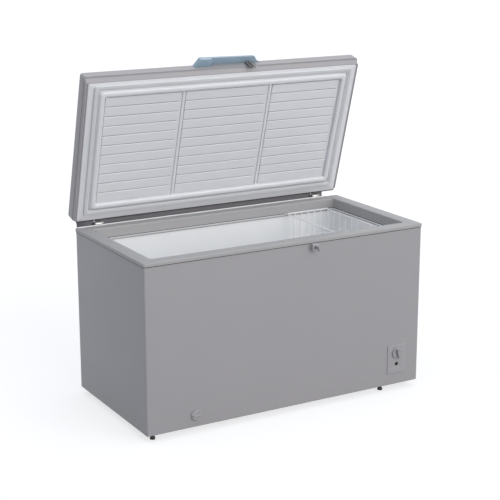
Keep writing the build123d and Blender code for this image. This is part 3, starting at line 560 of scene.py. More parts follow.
def bent(points: Sequence[Sequence[float]], bend: float, steps: int = 5) -> list[Vector]:
    """Round the corners of a wire's route.

    Args:
        points: Corners of the route.
        bend: Distance from each corner at which the bend starts.
        steps: Chords in each bend.

    Returns:
        Points along the rounded route.
    """
    corners = [Vector(p) for p in points]
    route = [corners[0]]
    for before, corner, after in zip(corners, corners[1:], corners[2:]):
        start = corner + (before - corner).normalized() * bend
        end = corner + (after - corner).normalized() * bend
        for i in range(steps + 1):
            share = i / steps
            route.append(start.lerp(corner, share).lerp(corner.lerp(end, share), share))
    return route + [corners[-1]]


def wires(name: str, routes: Iterable[tuple[list[Vector], float]]) -> Piece:
    """Draw round wires along routes as one piece.

    Args:
        name: Name of the piece.
        routes: Points of each wire and its radius.

    Returns:
        The wires as a mesh.
    """
    made = []
    for route, radius in routes:
        line = bpy.data.curves.new(name, "CURVE")
        line.dimensions = "3D"
        line.bevel_depth = radius
        line.bevel_resolution = 2
        line.use_fill_caps = True
        spline = line.splines.new("POLY")
        spline.points.add(len(route) - 1)
        for point, place in zip(spline.points, route):
            point.co = (*place, 1.0)
        wire = bpy.data.objects.new(name, line)
        bpy.context.scene.collection.objects.link(wire)
        activate(wire)
        bpy.ops.object.convert(target="MESH")
        made.append(wire)
    return settle(join(name, made))


def softened(node: str, width: float, segments: int = 2) -> Piece:
    """Copy a CAD node as a piece with rounded edges and smooth shading.

    Args:
        node: Name of the node.
        width: Width of the rounding, or 0 for none.
        segments: Chords across the rounding.

    Returns:
        The piece, dressed in the node's own finish.
    """
    piece = copy_of(frame["nodes"][node], f"{node}_finished")
    piece.parent = None
    for key in list(piece.keys()):
        del piece[key]
    with editing(piece):
        bpy.ops.mesh.remove_doubles(threshold=MERGE)
        bpy.ops.mesh.dissolve_limited(angle_limit=math.radians(0.5))
    if width:
        round_edges(piece, width, segments)
    return dress(settle(piece), node)


def dress(
    piece: Piece, node: str, finish: Finish | None = None, slot: str | None = None, replaces: bool = True
) -> Piece:
    """Give a piece its finish and its body, and let it stand for a CAD node.

    Args:
        piece: The piece.
        node: Node whose body and material slot it takes.
        finish: Finish in place of the slot's own.
        slot: Material slot in place of the node's own.
        replaces: Whether the node is hidden.

    Returns:
        The piece.
    """
    slot = slot or NODE_SLOT[node]
    piece.data.materials.clear()
    piece.data.materials.append((finish or FINISHES[slot]).material())
    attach(piece, NODE_BODY[node])
    if replaces:
        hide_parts(node)
    LOG.info("%s on %s, %d faces", piece.name, NODE_BODY[node], len(piece.data.polygons))
    return piece


def opened(piece: Piece) -> Piece:
    """Turn a piece of the shut lid to where the lid stands open."""
    piece.matrix_world = LID_OPEN @ piece.matrix_world
    return settle(piece)


def shut_box(node: str) -> tuple[Vector, Vector]:
    """Return the corners of a lid node's box with the lid shut.

    Args:
        node: Name of the node.

    Returns:
        Lowest and highest corner.
    """
    back = LID_OPEN.inverted()
    points = [back @ vert.co for vert in frame["nodes"][node].data.vertices]
    low = Vector(min(p[k] for p in points) for k in range(3))
    high = Vector(max(p[k] for p in points) for k in range(3))
    return low, high


def round_of(node: str) -> tuple[Vector, Vector, Vector, float]:
    """Return the corners and the middle of a round node's box, and its radius in X."""
    low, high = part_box(node)
    return low, high, (low + high) / 2, (high.x - low.x) / 2


def grip_bar(name: str, low: Sequence[float], high: Sequence[float], taper: Pair, soft: float) -> Piece:
    """Model a bar to hold, drawn in towards its front.

    Args:
        name: Name of the piece.
        low: Its lowest corner.
        high: Its highest corner.
        taper: Shares of its width and height that are left at the front.
        soft: Rounding of its edges.

    Returns:
        The bar.
    """
    bar = block(name, low, high)
    with editing(bar):
        pick(bar, "faces", lambda f: facing(f, FRONT))
        bpy.ops.transform.resize(value=(taper[0], 1, taper[1]))
    round_edges(bar, soft, 4)
    return bar


# Cabinet
@dataclass
class Cabinet:
    """Steel wrap and the moulded rim over it."""

    corner: float = 0.008  # Radius of the upright corners
    fold: float = 0.005  # Radius of the lower edge
    sheet: float = 0.001  # Thickness of the steel
    flange: float = 0.022  # Width of the sheet folded in at the back and the bottom
    vent_flange: float = 0.009  # Flange of the vent over its opening
    overhang: float = 0.003  # Rim past the wrap
    lip: float = 0.015  # Height of the rim's lip
    rim_width: float = 0.060  # Wrap's side to the opening
    wall: float = 0.003  # Thickness of the rim
    edge: float = 0.0035  # Radius of the rim's edges
    collar: float = 0.048  # Depth of the rim's inside wall
    ledge: float = 0.074  # Wrap's side to the inner edge of the ledge
    ledge_lip: float = 0.007  # Height of the ledge's edge
    opening_corner: float = 0.012  # Radius of the opening's corners
    liner_corner: float = 0.023  # Radius of the ledge's inner corners
    shade_line_height: float = 0.0035  # Height of the dark lines of painted shade under the rim's lip and at the collar's foot
    shade_line_proud: float = 0.0007  # How far those lines stand out
    ledge_film: float = 0.0002  # Thickness of the liner's sheet over the ledge
    film_gap: float = 0.0015  # Clear strip between the collar and that sheet
    film_edge: float = 0.0005  # How far the sheet lies in the ledge and short of its edge
    rear_lip: float = 0.004  # Height of the pale lip along the rim's rear edge, a painted highlight
    fillet: float = 0.003  # Radius between the collar and the ledge
    ledge_edge: float = 0.0012  # Radius of the ledge's inner edge

    def build(self) -> None:
        """Build the wrap, the rim and the liner."""
        dress(self._wrap(), "cabinet_wrap")
        dress(self._rim(), "top_rim")
        softened("inner_liner", 0.0)
        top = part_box("top_rim")[1].z
        low, foot = top - self.lip, top - self.collar
        outer = (-self.shade_line_proud, OVERLAP)
        inner = (self.rim_width - OVERLAP, self.rim_width + self.shade_line_proud)
        # Dark lines under the rim's lip and at the collar's foot: painted shadow and painted shade, in dark grey.
        for joint in (
            self._band("rim_joint", outer, (low - self.shade_line_height, low), self.corner),
            self._band("collar_joint", inner, (foot, foot + self.shade_line_height), self.opening_corner),
        ):
            dress(joint, "compressor_grommets", finish=SHADE_LINE, replaces=False)
        strip = (self.rim_width + self.film_gap, self.ledge - self.film_edge)
        heights = (foot - self.film_edge, foot + self.ledge_film)
        film = self._band("liner_flange", strip, heights, self.opening_corner)
        dress(film, "inner_liner", replaces=False)
        # Pale lip on the rim's rear edge: painted highlight, in the white of the liner.
        dress(self._rear_highlight_lip(), "inner_liner", replaces=False)

    def plan(self) -> Plan:
        """Return the wrap's plan."""
        return Plan.of(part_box("cabinet_wrap"))

    def _rear_highlight_lip(self) -> Piece:
        """Model the pale lip that stands along the rim's rear edge, a painted highlight where that edge catches
        the light.

        Returns:
            The lip.
        """
        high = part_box("top_rim")[1]
        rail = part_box("rear_hinge_rail")
        near = (rail[0].x, high.y - 2 * self.overhang, high.z - self.sheet)
        lip = block("rim_rear_lip", near, (rail[1].x, high.y - self.overhang, high.z + self.rear_lip))
        round_edges(lip, self.sheet, 2)
        return settle(lip)

    def _band(
        self, name: str, inset: Pair, height: Pair, corner: float
    ) -> Piece:
        """Draw a flat band round the cabinet's plan.

        Args:
            name: Name of the piece.
            inset: Insets of its two sides.
            height: Its lower and upper Z.
            corner: Radius of its corners.

        Returns:
            The band.
        """
        plan = self.plan()
        corners = [(inset[0], height[0]), (inset[0], height[1]), (inset[1], height[1]), (inset[1], height[0])]
        loops = [plan.loop(side, z, corner) for side, z in corners + corners[:1]]
        return loft(name, loops, ring=True)

    def _wrap(self) -> Piece:
        """Fold the wrap out of a block.

        Returns:
            The wrap.
        """
        low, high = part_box("cabinet_wrap")
        wrap = block("steel_wrap", low, high)
        with editing(wrap):
            pick(wrap, "faces", lambda f: facing(f, UP))
            bpy.ops.mesh.delete(type="FACE")
            pick(wrap, "edges", lambda e: edge_way(e).z > 0.99)
            bpy.ops.mesh.bevel(offset=self.corner, segments=8, affect="EDGES")
            pick(wrap, "edges", lambda e: max(v.co.z for v in e.verts) < low.z + NEAR)
            bpy.ops.mesh.bevel(offset=self.fold, segments=5, affect="EDGES")
            pick(wrap, "faces", lambda f: facing(f, BACK))
            bpy.ops.mesh.inset(thickness=self.flange - self.corner, use_boundary=False)
            bpy.ops.mesh.delete(type="FACE")
            pick(wrap, "faces", lambda f: facing(f, DOWN))
            bpy.ops.mesh.inset(thickness=self.flange - self.fold)
            bpy.ops.mesh.delete(type="FACE")
            self._cut_vent(wrap)
        apply_modifier(wrap, "SOLIDIFY", thickness=self.sheet, offset=-1)
        return settle(wrap)

    def _cut_vent(self, wrap: Piece) -> None:
        """Cut the opening behind the vent out of the right-hand face.

        Args:
            wrap: The wrap, in edit mode.
        """
        low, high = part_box("side_vent")
        grow = Vector((0, self.vent_flange, self.vent_flange))
        low, high = low + grow, high - grow
        cuts = [(low, (0, 1, 0)), (high, (0, 1, 0)), (low, (0, 0, 1)), (high, (0, 0, 1))]
        for point, way in cuts:
            pick(wrap, "faces", lambda f: facing(f, RIGHT))
            bpy.ops.mesh.bisect(plane_co=point, plane_no=way)
        middle = (low + high) / 2
        pick(wrap, "faces", lambda f: facing(f, RIGHT) and self._near(f.calc_center_median(), middle))
        bpy.ops.mesh.delete(type="FACE")

    @staticmethod
    def _near(point: Vector, middle: Vector) -> bool:
        """Tell whether two points lie together in Y and Z."""
        return max(abs(point.y - middle.y), abs(point.z - middle.z)) < 0.01

    def _rim(self) -> Piece:
        """Draw the rim's section round the cabinet.

        Returns:
            The rim.
        """
        plan = self.plan()
        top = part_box("top_rim")[1].z
        shelf, width, wall = self.collar, self.rim_width, self.wall
        lip_foot, under = shelf + self.ledge_lip, shelf + wall
        edge, round_in, fillet, small = self.edge, self.edge * 1.4, self.fillet, self.ledge_edge
        start = (-self.overhang, -self.lip)
        profile = [start]
        profile += arc(edge - self.overhang, -edge, edge, 180, 90)
        profile += arc(width - round_in, -round_in, round_in, 90, 0)
        profile += arc(width + fillet, fillet - shelf, fillet, 180, 270, 4)
        profile += arc(self.ledge - small, -shelf - small, small, 90, 0, 3)
        profile += [(self.ledge, -lip_foot), (self.ledge - wall, -lip_foot), (self.ledge - wall, -under)]
        profile += [(width - wall, -under), (width - wall, -wall)]
        profile += [(OVERLAP, -wall), (OVERLAP, -self.lip), start]
        loops = [plan.loop(inset, top + z, self._rim_corner(inset)) for inset, z in profile]
        return loft("moulded_rim", loops, ring=True)

    def _rim_corner(self, inset: float) -> float:
        """Return the corner radius of the rim at an inset.

        Args:
            inset: Inset from the cabinet's side.

        Returns:
            The radius.
        """
        if inset < self.corner / 2:
            return self.corner - inset
        if inset <= self.rim_width:
            return self.opening_corner + self.rim_width - inset
        share = (inset - self.rim_width) / (self.ledge - self.rim_width)
        return self.opening_corner + share * (self.liner_corner - self.opening_corner)


# Lid
@dataclass
class Lid:
    """Skin, frame, seal and inner panel of the lid."""

    corner: float = 0.012  # Radius of the skin's upright corners
    edge: float = 0.006  # Radius round the top
    band: float = 0.048  # Height of the skirt's upper band
    joggle: float = 0.002  # Lower band's step inwards
    slope: float = 0.023  # How far the lower band slopes in at the front
    notch: float = 0.008  # How far the lower band stands in at the front, right under the upper one
    groove: float = 0.0015  # Depth of the line between the bands at the ends
    lip: float = 0.0014  # Thickness of the folded lip round the frame
    channel: float = 0.0025  # Depth of the channel between the lip and the frame
    hem: float = 0.018  # Width of the sheet folded in over the frame's edge
    front_hem: float = 0.008  # The same along the front
    core: float = 0.012  # Skin to the foam inside it
    rebate: float = 0.005  # Depth of the step along the back
    rebate_height: float = 0.012  # Its height above the frame's face
    strip_gap: float = 0.0003  # How far the dark strip of painted shade stands back in it
    frame_edge: float = 0.0012  # Rounding of the frame
    frame_corner: float = 0.006  # Radius of the frame's corners
    hole_corner: float = 0.012  # Radius where the frame meets the panel
    bead_corner: float = 0.018  # Radius of the bead's outer corners
    seal_width: float = 0.014  # Width of the seal
    seal_fin: float = 0.0055  # Width of the fin on the seal's inner side
    seal_rib: float = 0.0014  # Depth of the folds in the seal's sides
    bead_inset: float = 0.065  # Cabinet's side to the foot of the bead
    bead_width: float = 0.027  # Width of the bead
    bead_height: float = 0.017  # Height of the bead
    bead_flare: float = 0.005  # How far the bead's foot spreads outwards
    bead_round: float = 0.011  # Radius of its edges
    floor_rise: float = 0.0005  # Height of the bays' floor over the frame's face
    slats: int = 11  # Slats in a bay
    slat_gap: float = 0.0034  # Groove between two slats
    slat_low: float = 0.0050  # Height of a slat's lower edge
    slat_high: float = 0.0070  # Height of its upper edge
    slat_margin: float = 0.004  # Clear strip at a slat's left end
    slat_end: float = 0.013  # Clear strip at its right end
    slat_round: float = 0.0008  # Rounding of a slat's lower edge
    slat_bevel: float = 0.0020  # Bevel of its upper edge, which catches the light
    line: float = 0.0006  # Thickness of the grey line of painted shade in a groove
    divider: float = 0.223  # Middle of the lid to a divider
    divider_width: float = 0.013  # Width of a divider
    divider_height: float = 0.0062  # Height of a divider

    def build(self, plan: Plan) -> None:
        """Build the lid's pieces.

        Args:
            plan: The cabinet's plan, which the frame and the panel are drawn in from.
        """
        dress(opened(self._skin()), "lid_skin")
        dress(opened(self._foam()), "lid_insulation")
        dress(opened(self._frame()), "lid_frame")
        dress(opened(self._seal(plan)), "lid_gasket")
        panel, lines = self._panel(plan)
        dress(opened(panel), "lid_liner")
        # Dark strip in the rear rebate: painted shade, in dark grey.
        dress(opened(self._rear_strip()), "lid_gasket", finish=SHADE_LINE, replaces=False)
        # Grey lines in the slat grooves: painted shade.
        dress(opened(lines), "lid_liner", finish=GROOVE_SHADE, replaces=False)

    def _rear_strip(self) -> Piece:
        """Model the dark strip of painted shade that lies in the rebate of the rear edge.

        Returns:
            The strip.
        """
        low, high = shut_box("lid_skin")
        base = shut_box("lid_frame")[0].z
        near = (low.x + self.corner, high.y - self.rebate, base + self.strip_gap)
        far = (high.x - self.corner, high.y - self.strip_gap, base + self.rebate)
        strip = block("lid_rear_strip", near, far)
        round_edges(strip, self.lip / 2, 2)
        return settle(strip)

    def _skin(self) -> Piece:
        """Draw the pressed skin up from its hem to its top.

        Returns:
            The skin.
        """
        low, high = shut_box("lid_skin")
        plan = Plan.of((low, high))
        step = high.z - self.band
        shelf = shut_box("lid_frame")[0].z + self.rebate_height
        fold = self.lip / 2
        side, slope, back, line = self.joggle, self.slope, self.rebate, self.groove
        corner = self.corner - side
        deep = low.z + self.channel
        loops = [plan.loop(side + self.hem, deep, self.frame_corner, back + self.hem, slope + self.front_hem)]
        for grow, z in ((2, deep), (2, low.z + fold), (1, low.z), (0, low.z + fold)):
            inset = grow * fold
            loops.append(plan.loop(side + inset, z, corner - inset, back + inset, slope + inset))
        share = (shelf - low.z) / (step - low.z)
        ramp = slope + (self.notch - slope) * share
        loops += [
            plan.loop(side, shelf, corner, back, ramp),
            plan.loop(side, shelf, corner, side, ramp),
            plan.loop(side, step - line, corner, near_inset=self.notch),
            plan.loop(side + line, step - line / 3, corner - line, near_inset=self.notch),
            plan.loop(fold, step, self.corner - fold),
            plan.loop(0, step + fold, self.corner),
        ]
        for inset, z in arc(self.edge, high.z - self.edge, self.edge, 180, 90, 7):
            loops.append(plan.loop(inset, z, self.corner - inset))
        return loft("lid_pressed_skin", loops)

    def _foam(self) -> Piece:
        """Fill the skin with foam, clear of its folds.

        Returns:
            The foam.
        """
        low, high = shut_box("lid_skin")
        plan = Plan.of((low, high))
        core = self.core
        near = self.slope + core
        heights = ((low.z + core / 2, near), (high.z - self.band, core), (high.z - core / 4, core))
        loops = [plan.loop(core, z, self.corner, self.rebate + core, inset) for z, inset in heights]
        return loft("lid_foam_core", loops)

    def _frame(self) -> Piece:
        """Draw the flat moulded frame of the underside.

        Returns:
            The frame.
        """
        low, high = shut_box("lid_frame")
        outer = Plan.of((low, high))
        hole = Plan.of(shut_box("lid_liner"))
        soft = self.frame_edge
        corner = self.frame_corner
        root = high.z + self.channel
        loops = [
            outer.loop(0, root, corner),
            outer.loop(0, low.z + soft, corner),
            outer.loop(soft / 3, low.z + soft / 3, corner),
            outer.loop(soft, low.z, corner - soft),
            hole.loop(-soft, low.z, self.hole_corner + soft),
            hole.loop(0, low.z + soft, self.hole_corner),
            hole.loop(0, root, self.hole_corner),
            outer.loop(0, root, corner),
        ]
        return loft("lid_moulded_frame", loops, ring=True)

    def _seal(self, plan: Plan) -> Piece:
        """Draw the seal: a bellows on a foot, and a face with two channels.

        Args:
            plan: The cabinet's plan.

        Returns:
            The seal.
        """
        low, high = shut_box("lid_gasket")
        start = low.x - plan.left
        width = self.seal_width
        end = start + width
        height = high.z - low.z
        rib = self.seal_rib
        side = [(0.0, 1.0), (0.0, 0.72), (rib, 0.6), (0.0, 0.48), (0.0, 0.2), (rib, 0.0)]
        face = [(0.26, 0.0), (0.29, 0.16), (0.33, 0.16), (0.36, 0.0)]
        profile = [(start + inset, low.z + share * height) for inset, share in side]
        profile += [(start + share * width, low.z + deep * height) for share, deep in face]
        profile += [(end - share * width, low.z + deep * height) for share, deep in reversed(face)]
        fin = self.seal_fin
        side = [(rib, 0.0), (0.0, 0.2), (0.0, 0.36), (-fin, 0.4), (-fin, 0.52), (0.0, 0.6), (0.0, 1.0)]
        profile += [(end - inset, low.z + share * height) for inset, share in side]
        profile.append(profile[0])
        loops = [plan.loop(inset, z, self.hole_corner) for inset, z in profile]
        return loft("lid_seal", loops, ring=True)

    def _panel(self, plan: Plan) -> tuple[Piece, Piece]:
        """Form the inner panel: bead, dividers and bays of slats.

        Args:
            plan: The cabinet's plan.

        Returns:
            The panel, and the lines of painted shade in its grooves.
        """
        low, high = shut_box("lid_liner")
        face = shut_box("lid_frame")[0].z
        edge = low.x - plan.left
        inner = self.bead_inset + self.bead_width
        crest = face - self.bead_height
        profile = [(edge, high.z), (edge, face), (self.bead_inset - self.bead_flare, face)]
        profile += [(self.bead_inset - self.bead_flare * 0.6, face - self.bead_height * 0.3)]
        soft = self.bead_round
        for middle, start in ((self.bead_inset + soft, 180), (inner - soft, 90)):
            rounded = arc(middle, crest - soft, soft, start, start - 90, 6)
            profile += [(inset, 2 * crest - z) for inset, z in rounded]
        profile.append((inner, face - self.floor_rise))
        loops = [plan.loop(inset, z, self._bead_corner(inset)) for inset, z in profile]
        pieces, lines = [loft("lid_inner_panel", loops)], []
        ends = [plan.left + inner, -self.divider, self.divider, plan.right - inner]
        near, far = plan.near + inner, plan.far - inner
        for x in ends[1:3]:
            pieces.append(self._divider(x, near, far, face))
        half = self.divider_width / 2
        for bay, (x0, x1) in enumerate(zip(ends, ends[1:])):
            left = x0 + self.slat_margin + (half if bay else 0)
            right = x1 - self.slat_end - (half if bay < 2 else 0)
            slats, grooves = self._bay((left, right), (near, far), face)
            pieces.append(slats)
            lines.append(grooves)
        return join("lid_inner_panel", pieces), join("lid_slat_grooves", lines)

    def _bead_corner(self, inset: float) -> float:
        """Return the corner radius of the panel at an inset.

        Args:
            inset: Inset from the cabinet's side.

        Returns:
            The radius.
        """
        if inset < self.bead_inset:
            return self.hole_corner
        share = (inset - self.bead_inset) / self.bead_width
        return self.bead_corner + share * (self.frame_corner - self.bead_corner)

    def _divider(self, x: float, near: float, far: float, face: float) -> Piece:
        """Model one rounded divider between two bays.

        Args:
            x: Its middle.
            near: Its near end.
            far: Its far end.
            face: Height of the panel.

        Returns:
            The divider.
        """
        half = self.divider_width / 2
        bar = block("divider", (x - half, near, face - self.divider_height), (x + half, far, face))
        with editing(bar):
            pick(bar, "edges", lambda e: edge_way(e).y > 0.99 and edge_middle(e).z < face - NEAR)
            bpy.ops.mesh.bevel(offset=self.divider_height * 0.4, segments=4, affect="EDGES")
        return settle(bar)

    def _bay(
        self, x: Pair, y: Pair, face: float
    ) -> tuple[Piece, Piece]:
        """Model one slat of a bay and repeat it.

        Args:
            x: Ends of the slats.
            y: Near and far edge of the bay.
            face: Height of the panel.

        Returns:
            The bay of slats, and the lines of painted shade in its grooves.
        """
        pitch = (y[1] - y[0] - 2 * self.slat_gap) / self.slats
        first = y[0] + self.slat_gap
        last = first + pitch - self.slat_gap
        slat = block("slats", (x[0], first, face - self.slat_high), (x[1], last, face))
        with editing(slat):
            pick(slat, "edges", lambda e: self._raised_edge(e, last, face))
            bpy.ops.transform.translate(value=(0, 0, self.slat_high - self.slat_low))
            for place, width in ((last, self.slat_round), (first, self.slat_bevel)):
                pick(slat, "edges", lambda e: self._raised_edge(e, place, face))
                bpy.ops.mesh.bevel(offset=width, segments=1, affect="EDGES")
        groove = block("groove", (x[0], last, face - self.line), (x[1], first + pitch, face + self.line))
        for bar, count in ((slat, self.slats), (groove, self.slats - 1)):
            apply_modifier(
                bar, "ARRAY", count=count, use_relative_offset=False, use_constant_offset=True,
                constant_offset_displace=(0, pitch, 0))
        return settle(slat), settle(groove)

    @staticmethod
    def _raised_edge(edge: Edge, place: float, face: float) -> bool:
        """Tell whether an edge is a long edge of the raised face, at a place in Y."""
        middle = edge_middle(edge)
        return edge_way(edge).x > 0.99 and abs(middle.y - place) < NEAR and middle.z < face - NEAR


@dataclass
class Handle:
    """Moulded grip on the front of the lid: a hooked lip with a solid left end."""

    top_left: float = -0.138  # Left end of the outer edge
    top_right: float = 0.146  # Start of the shoulder on the outer edge
    shoulder: float = 0.8  # How hollow the shoulder is, from 0 to 1
    round_top: float = 0.007  # Rounding of the outer edge
    solid: float = -0.083  # Right side of the solid left end
    rise: float = 0.006  # Extra reach of the outer edge at its left end
    spread: float = 0.004  # Extra length at the left end's foot
    under: float = 0.017  # Height taken off under the left end, at the lid
    root: float = 0.008  # Thickness of the lip at the lid
    tip: float = 0.020  # Thickness of its outer edge
    soft: float = 0.0025  # Rounding of the other edges
    clear: float = 0.001  # How far what is cut away reaches past the grip

    def build(self) -> None:
        """Build the grip, and cut the room for the fingers and the slope under its solid end."""
        low, high = shut_box("lid_handle")
        grip = self._grip(low, high)
        clear, under = self.clear, self.under
        left_end = (low.x - self.spread - clear, self.solid + clear)
        cuts = (
            ("finger_room", (high.z - self.tip, high.z - self.root), (self.solid, high.x + clear)),
            ("end_undercut", (low.z + under / 3, low.z + under), left_end),
        )
        near, far, base = low.y - self.rise - clear, high.y + clear, low.z - clear
        for name, (outer, inner), ends in cuts:
            outline = [(near, base), (far, base), (far, inner), (near, outer)]
            room = loft(name, [[Vector((x, y, z)) for y, z in outline] for x in ends])
            apply_modifier(grip, "BOOLEAN", operation="DIFFERENCE", object=room, solver="EXACT")
            bpy.data.objects.remove(room)
        round_edges(grip, self.soft, 3, 50)
        dress(opened(settle(grip)), "lid_handle")

    def _grip(self, low: Vector, high: Vector) -> Piece:
        """Draw the grip's outline and raise it.

        Args:
            low: Lowest corner of the handle's box.
            high: Its highest corner.

        Returns:
            The grip, before it is cut.
        """
        reach = high.y - low.y
        lean = self.top_left - low.x
        outline = [(low.x - self.spread, high.y)]
        crest = low.y - self.rise
        foot = (low.x + lean * 0.75, high.y - reach * 0.85)
        outline += self._curve(foot, (self.top_left, crest), (self.top_left + lean * 0.3, crest))
        bend = (self.top_right + 0.3 * lean, low.y + reach * 0.3)
        outline += self._curve((self.top_right - 0.2 * lean, low.y), (self.top_right, low.y), bend)
        hollow = (bend[0] + 0.3 * lean, low.y + reach * self.shoulder)
        outline += self._curve(bend, hollow, (high.x, high.y - 0.0005))[1:]
        outline.append((high.x, high.y))
        loops = [[Vector((x, y, z)) for x, y in outline] for z in (low.z, high.z)]
        grip = loft("lid_grip", loops)
        with editing(grip):
            pick(grip, "edges", lambda e: self._outer_edge(e, high))
            bpy.ops.mesh.bevel(offset=self.round_top, segments=5, affect="EDGES")
        return grip

    @staticmethod
    def _curve(
        start: Pair, corner: Pair, end: Pair
    ) -> list[Pair]:
        """Return points of a curve from a start to an end, drawn towards a corner.

        Args:
            start: First point.
            corner: Point that draws the curve.
            end: Last point.

        Returns:
            Points of the curve.
        """
        points = []
        first, turn, last = Vector(start), Vector(corner), Vector(end)
        for i in range(7):
            share = i / 6
            spot = first.lerp(turn, share).lerp(turn.lerp(last, share), share)
            points.append((spot.x, spot.y))
        return points

    def _outer_edge(self, edge: Edge, high: Vector) -> bool:
        """Tell whether an edge runs round the grip's upper face, clear of the lid."""
        upper = min(v.co.z for v in edge.verts) > high.z - NEAR
        return upper and edge_middle(edge).y < high.y - self.clear


# Basket
@dataclass
class Basket:
    """White wire basket on the ledge."""

    rail: float = 0.003  # Radius of the two rails
    wire: float = 0.002  # Radius of the other wires
    bend: float = 0.012  # Size of the bends
    end_gap: float = 0.022  # Rails past the end wires
    cross: int = 11  # Wires across the basket
    along: int = 5  # Wires along it

    def build(self) -> None:
        """Bend and join the wires."""
        low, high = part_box("wire_basket")
        r = self.wire
        top = high.z - 2 * r - self.rail
        floor = low.z + 3 * r
        x0, x1 = low.x + 2 * self.rail + r, high.x - 2 * self.rail - r
        end = high.y - self.end_gap
        routes = []
        for x in (low.x + self.rail, high.x - self.rail):
            routes.append(([Vector((x, low.y, top)), Vector((x, high.y, top))], self.rail))
        first = end - 4 * r
        for i in range(self.cross):
            y = first - 2 * first * i / (self.cross - 1)
            corners = [(x0, y, top), (x0, y, floor), (x1, y, floor), (x1, y, top)]
            routes.append((bent(corners, self.bend), r))
        gap = (x1 - x0) / (self.along + 1)
        for i in range(self.along):
            x = x0 + (i + 1) * gap
            drop = floor - 2 * r
            corners = [(x, -end, top), (x, -end, drop), (x, end, drop), (x, end, top)]
            routes.append((bent(corners, self.bend), r))
        middle = (top + floor) / 2
        for y in (-end, end):
            rise = top + self.rail + r
            routes.append(([Vector((low.x + self.rail, y, rise)), Vector((high.x - self.rail, y, rise))], r))
        routes.append((self._hoop(x0 - 2 * r, x1 + 2 * r, end - 2 * r, middle), r))
        dress(wires("white_wire_basket", routes), "wire_basket")

    def _hoop(self, left: float, right: float, end: float, height: float) -> list[Vector]:
        """Route the hoop round the middle of the basket.

        Args:
            left: Its lowest X.
            right: Its highest X.
            end: Highest Y.
            height: Its Z.

        Returns:
            Points of the route.
        """
        middle = (left + right) / 2
        corners = [(middle, -end), (right, -end), (right, end), (left, end), (left, -end), (middle, -end)]
        return bent([(x, y, height) for x, y in corners], self.bend)


# Fittings
@dataclass
class Controls:
    """Thermostat dial, its plate and the lamp on the front."""

    flange: float = 0.006  # Thickness of the knob's disc
    knob_gap: float = 0.0003  # Plate to the knob
    disc_edge: float = 0.0022  # Rounding of the disc
    dish: float = 0.0008  # Depth of the hollow in the disc
    shaft: float = 0.003  # Radius of the knob's shaft
    bar: float = 0.011  # Width of the grip across the knob
    pointer: float = 0.0016  # Width of the pointer on the grip
    plate_edge: float = 0.0022  # Rounding of the plate
    turn: float = -15.0  # Angle at which the grip stands, in degrees
    bezel: float = 0.0024  # Width of the ring round the lamp
    ticks: int = 7  # Marks round the dial
    tick_gap: float = 0.003  # Knob's edge to a mark
    tick_length: float = 0.005  # Length of a mark
    tick_width: float = 0.0011  # Its width
    tick_proud: float = 0.0003  # Its height
    tick_sweep: float = 240.0  # Angle from the first mark to the last, in degrees

    def build(self) -> None:
        """Build the knob, the lamp and the printed marks."""
        softened("control_plate", self.plate_edge, 4)
        self._knob()
        self._lamp()
        self._marks()

    def _knob(self) -> None:
        """Turn the knob and set its grip across it."""
        low, high, middle, radius = round_of("thermostat_knob")
        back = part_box("control_plate")[0].y - self.knob_gap
        base = Vector((middle.x, back, middle.z))
        rise = back - low.y
        flange, soft = self.flange, self.disc_edge
        dish = flange - self.dish
        profile = [(radius - 0.001, 0.0), (radius, 0.001), (radius, flange * 0.6)]
        profile += [(radius - i, flange + z) for i, z in arc(soft, -soft, soft, 180, 90, 4)]
        profile += [(radius * 0.72, flange), (radius * 0.70, dish), (0.002, dish)]
        disc = turned("dial_disc", profile, base, FRONT, 64)
        half, reach = self.bar / 2, radius * 0.9
        grip = grip_bar("dial_grip", (-half, -rise, -reach), (half, -flange / 2, reach), (0.62, 0.94), 0.0026)
        half = self.pointer / 2
        near, far = (-half, -rise - OVERLAP, reach * 0.35), (half, -rise + 0.001, reach * 0.86)
        notch = block("dial_pointer", near, far)
        round_edges(notch, 0.0003, 2)
        for piece in (grip, notch):
            piece.matrix_world = Matrix.Translation(base) @ Matrix.Rotation(math.radians(self.turn), 4, "Y")
            settle(piece)
        shaft = turned("dial_shaft", [(self.shaft, 0.0), (self.shaft, high.y - back)], base, BACK, 24)
        knob = join("thermostat_dial_knob", [disc, grip, shaft])
        dress(settle(knob), "thermostat_knob")
        dress(notch, "thermostat_knob", finish=PRINT_INK, replaces=False)

    def _lamp(self) -> None:
        """Turn the lamp's lens and its bezel."""
        low, high, middle, radius = round_of("indicator_lamp")
        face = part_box("control_plate")[0].y
        base = (middle.x, face, middle.z)
        proud = face - low.y
        turns = (0.0, 0.4, 0.8, 1.2, 1.5)
        dome = [(radius * math.cos(t), proud * (0.45 + 0.55 * math.sin(t))) for t in turns]
        lens = turned("lamp_lens", [(radius, face - high.y), (radius, 0.0), *dome], base, FRONT, 32)
        rim = radius + self.bezel
        ring = [(rim, -OVERLAP), (rim, proud * 0.2), (rim - 0.0004, proud * 0.3), (radius * 0.9, proud * 0.3)]
        bezel = turned("lamp_bezel", ring, base, FRONT, 32)
        dress(join("running_lamp_lens", [lens, bezel]), "indicator_lamp")

    def _marks(self) -> None:
        """Print the marks round the dial."""
        middle, radius = round_of("thermostat_knob")[2:]
        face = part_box("control_plate")[0].y
        start = radius + self.tick_gap
        half = self.tick_width / 2
        near, far = (-half, -self.tick_proud, start), (half, OVERLAP, start + self.tick_length)
        first = block("dial_marks", near, far)
        round_edges(first, NEAR, 1)
        marks = [first] + [copy_of(first, "dial_mark") for _ in range(1, self.ticks)]
        for i, mark in enumerate(marks):
            turn = math.radians(self.tick_sweep * (i / (self.ticks - 1) - 0.5))
            mark.matrix_world = Matrix.Translation((middle.x, face, middle.z)) @ Matrix.Rotation(turn, 4, "Y")
            settle(mark)
        dress(join("dial_marks", marks), "control_plate", finish=PRINT_INK, replaces=False)


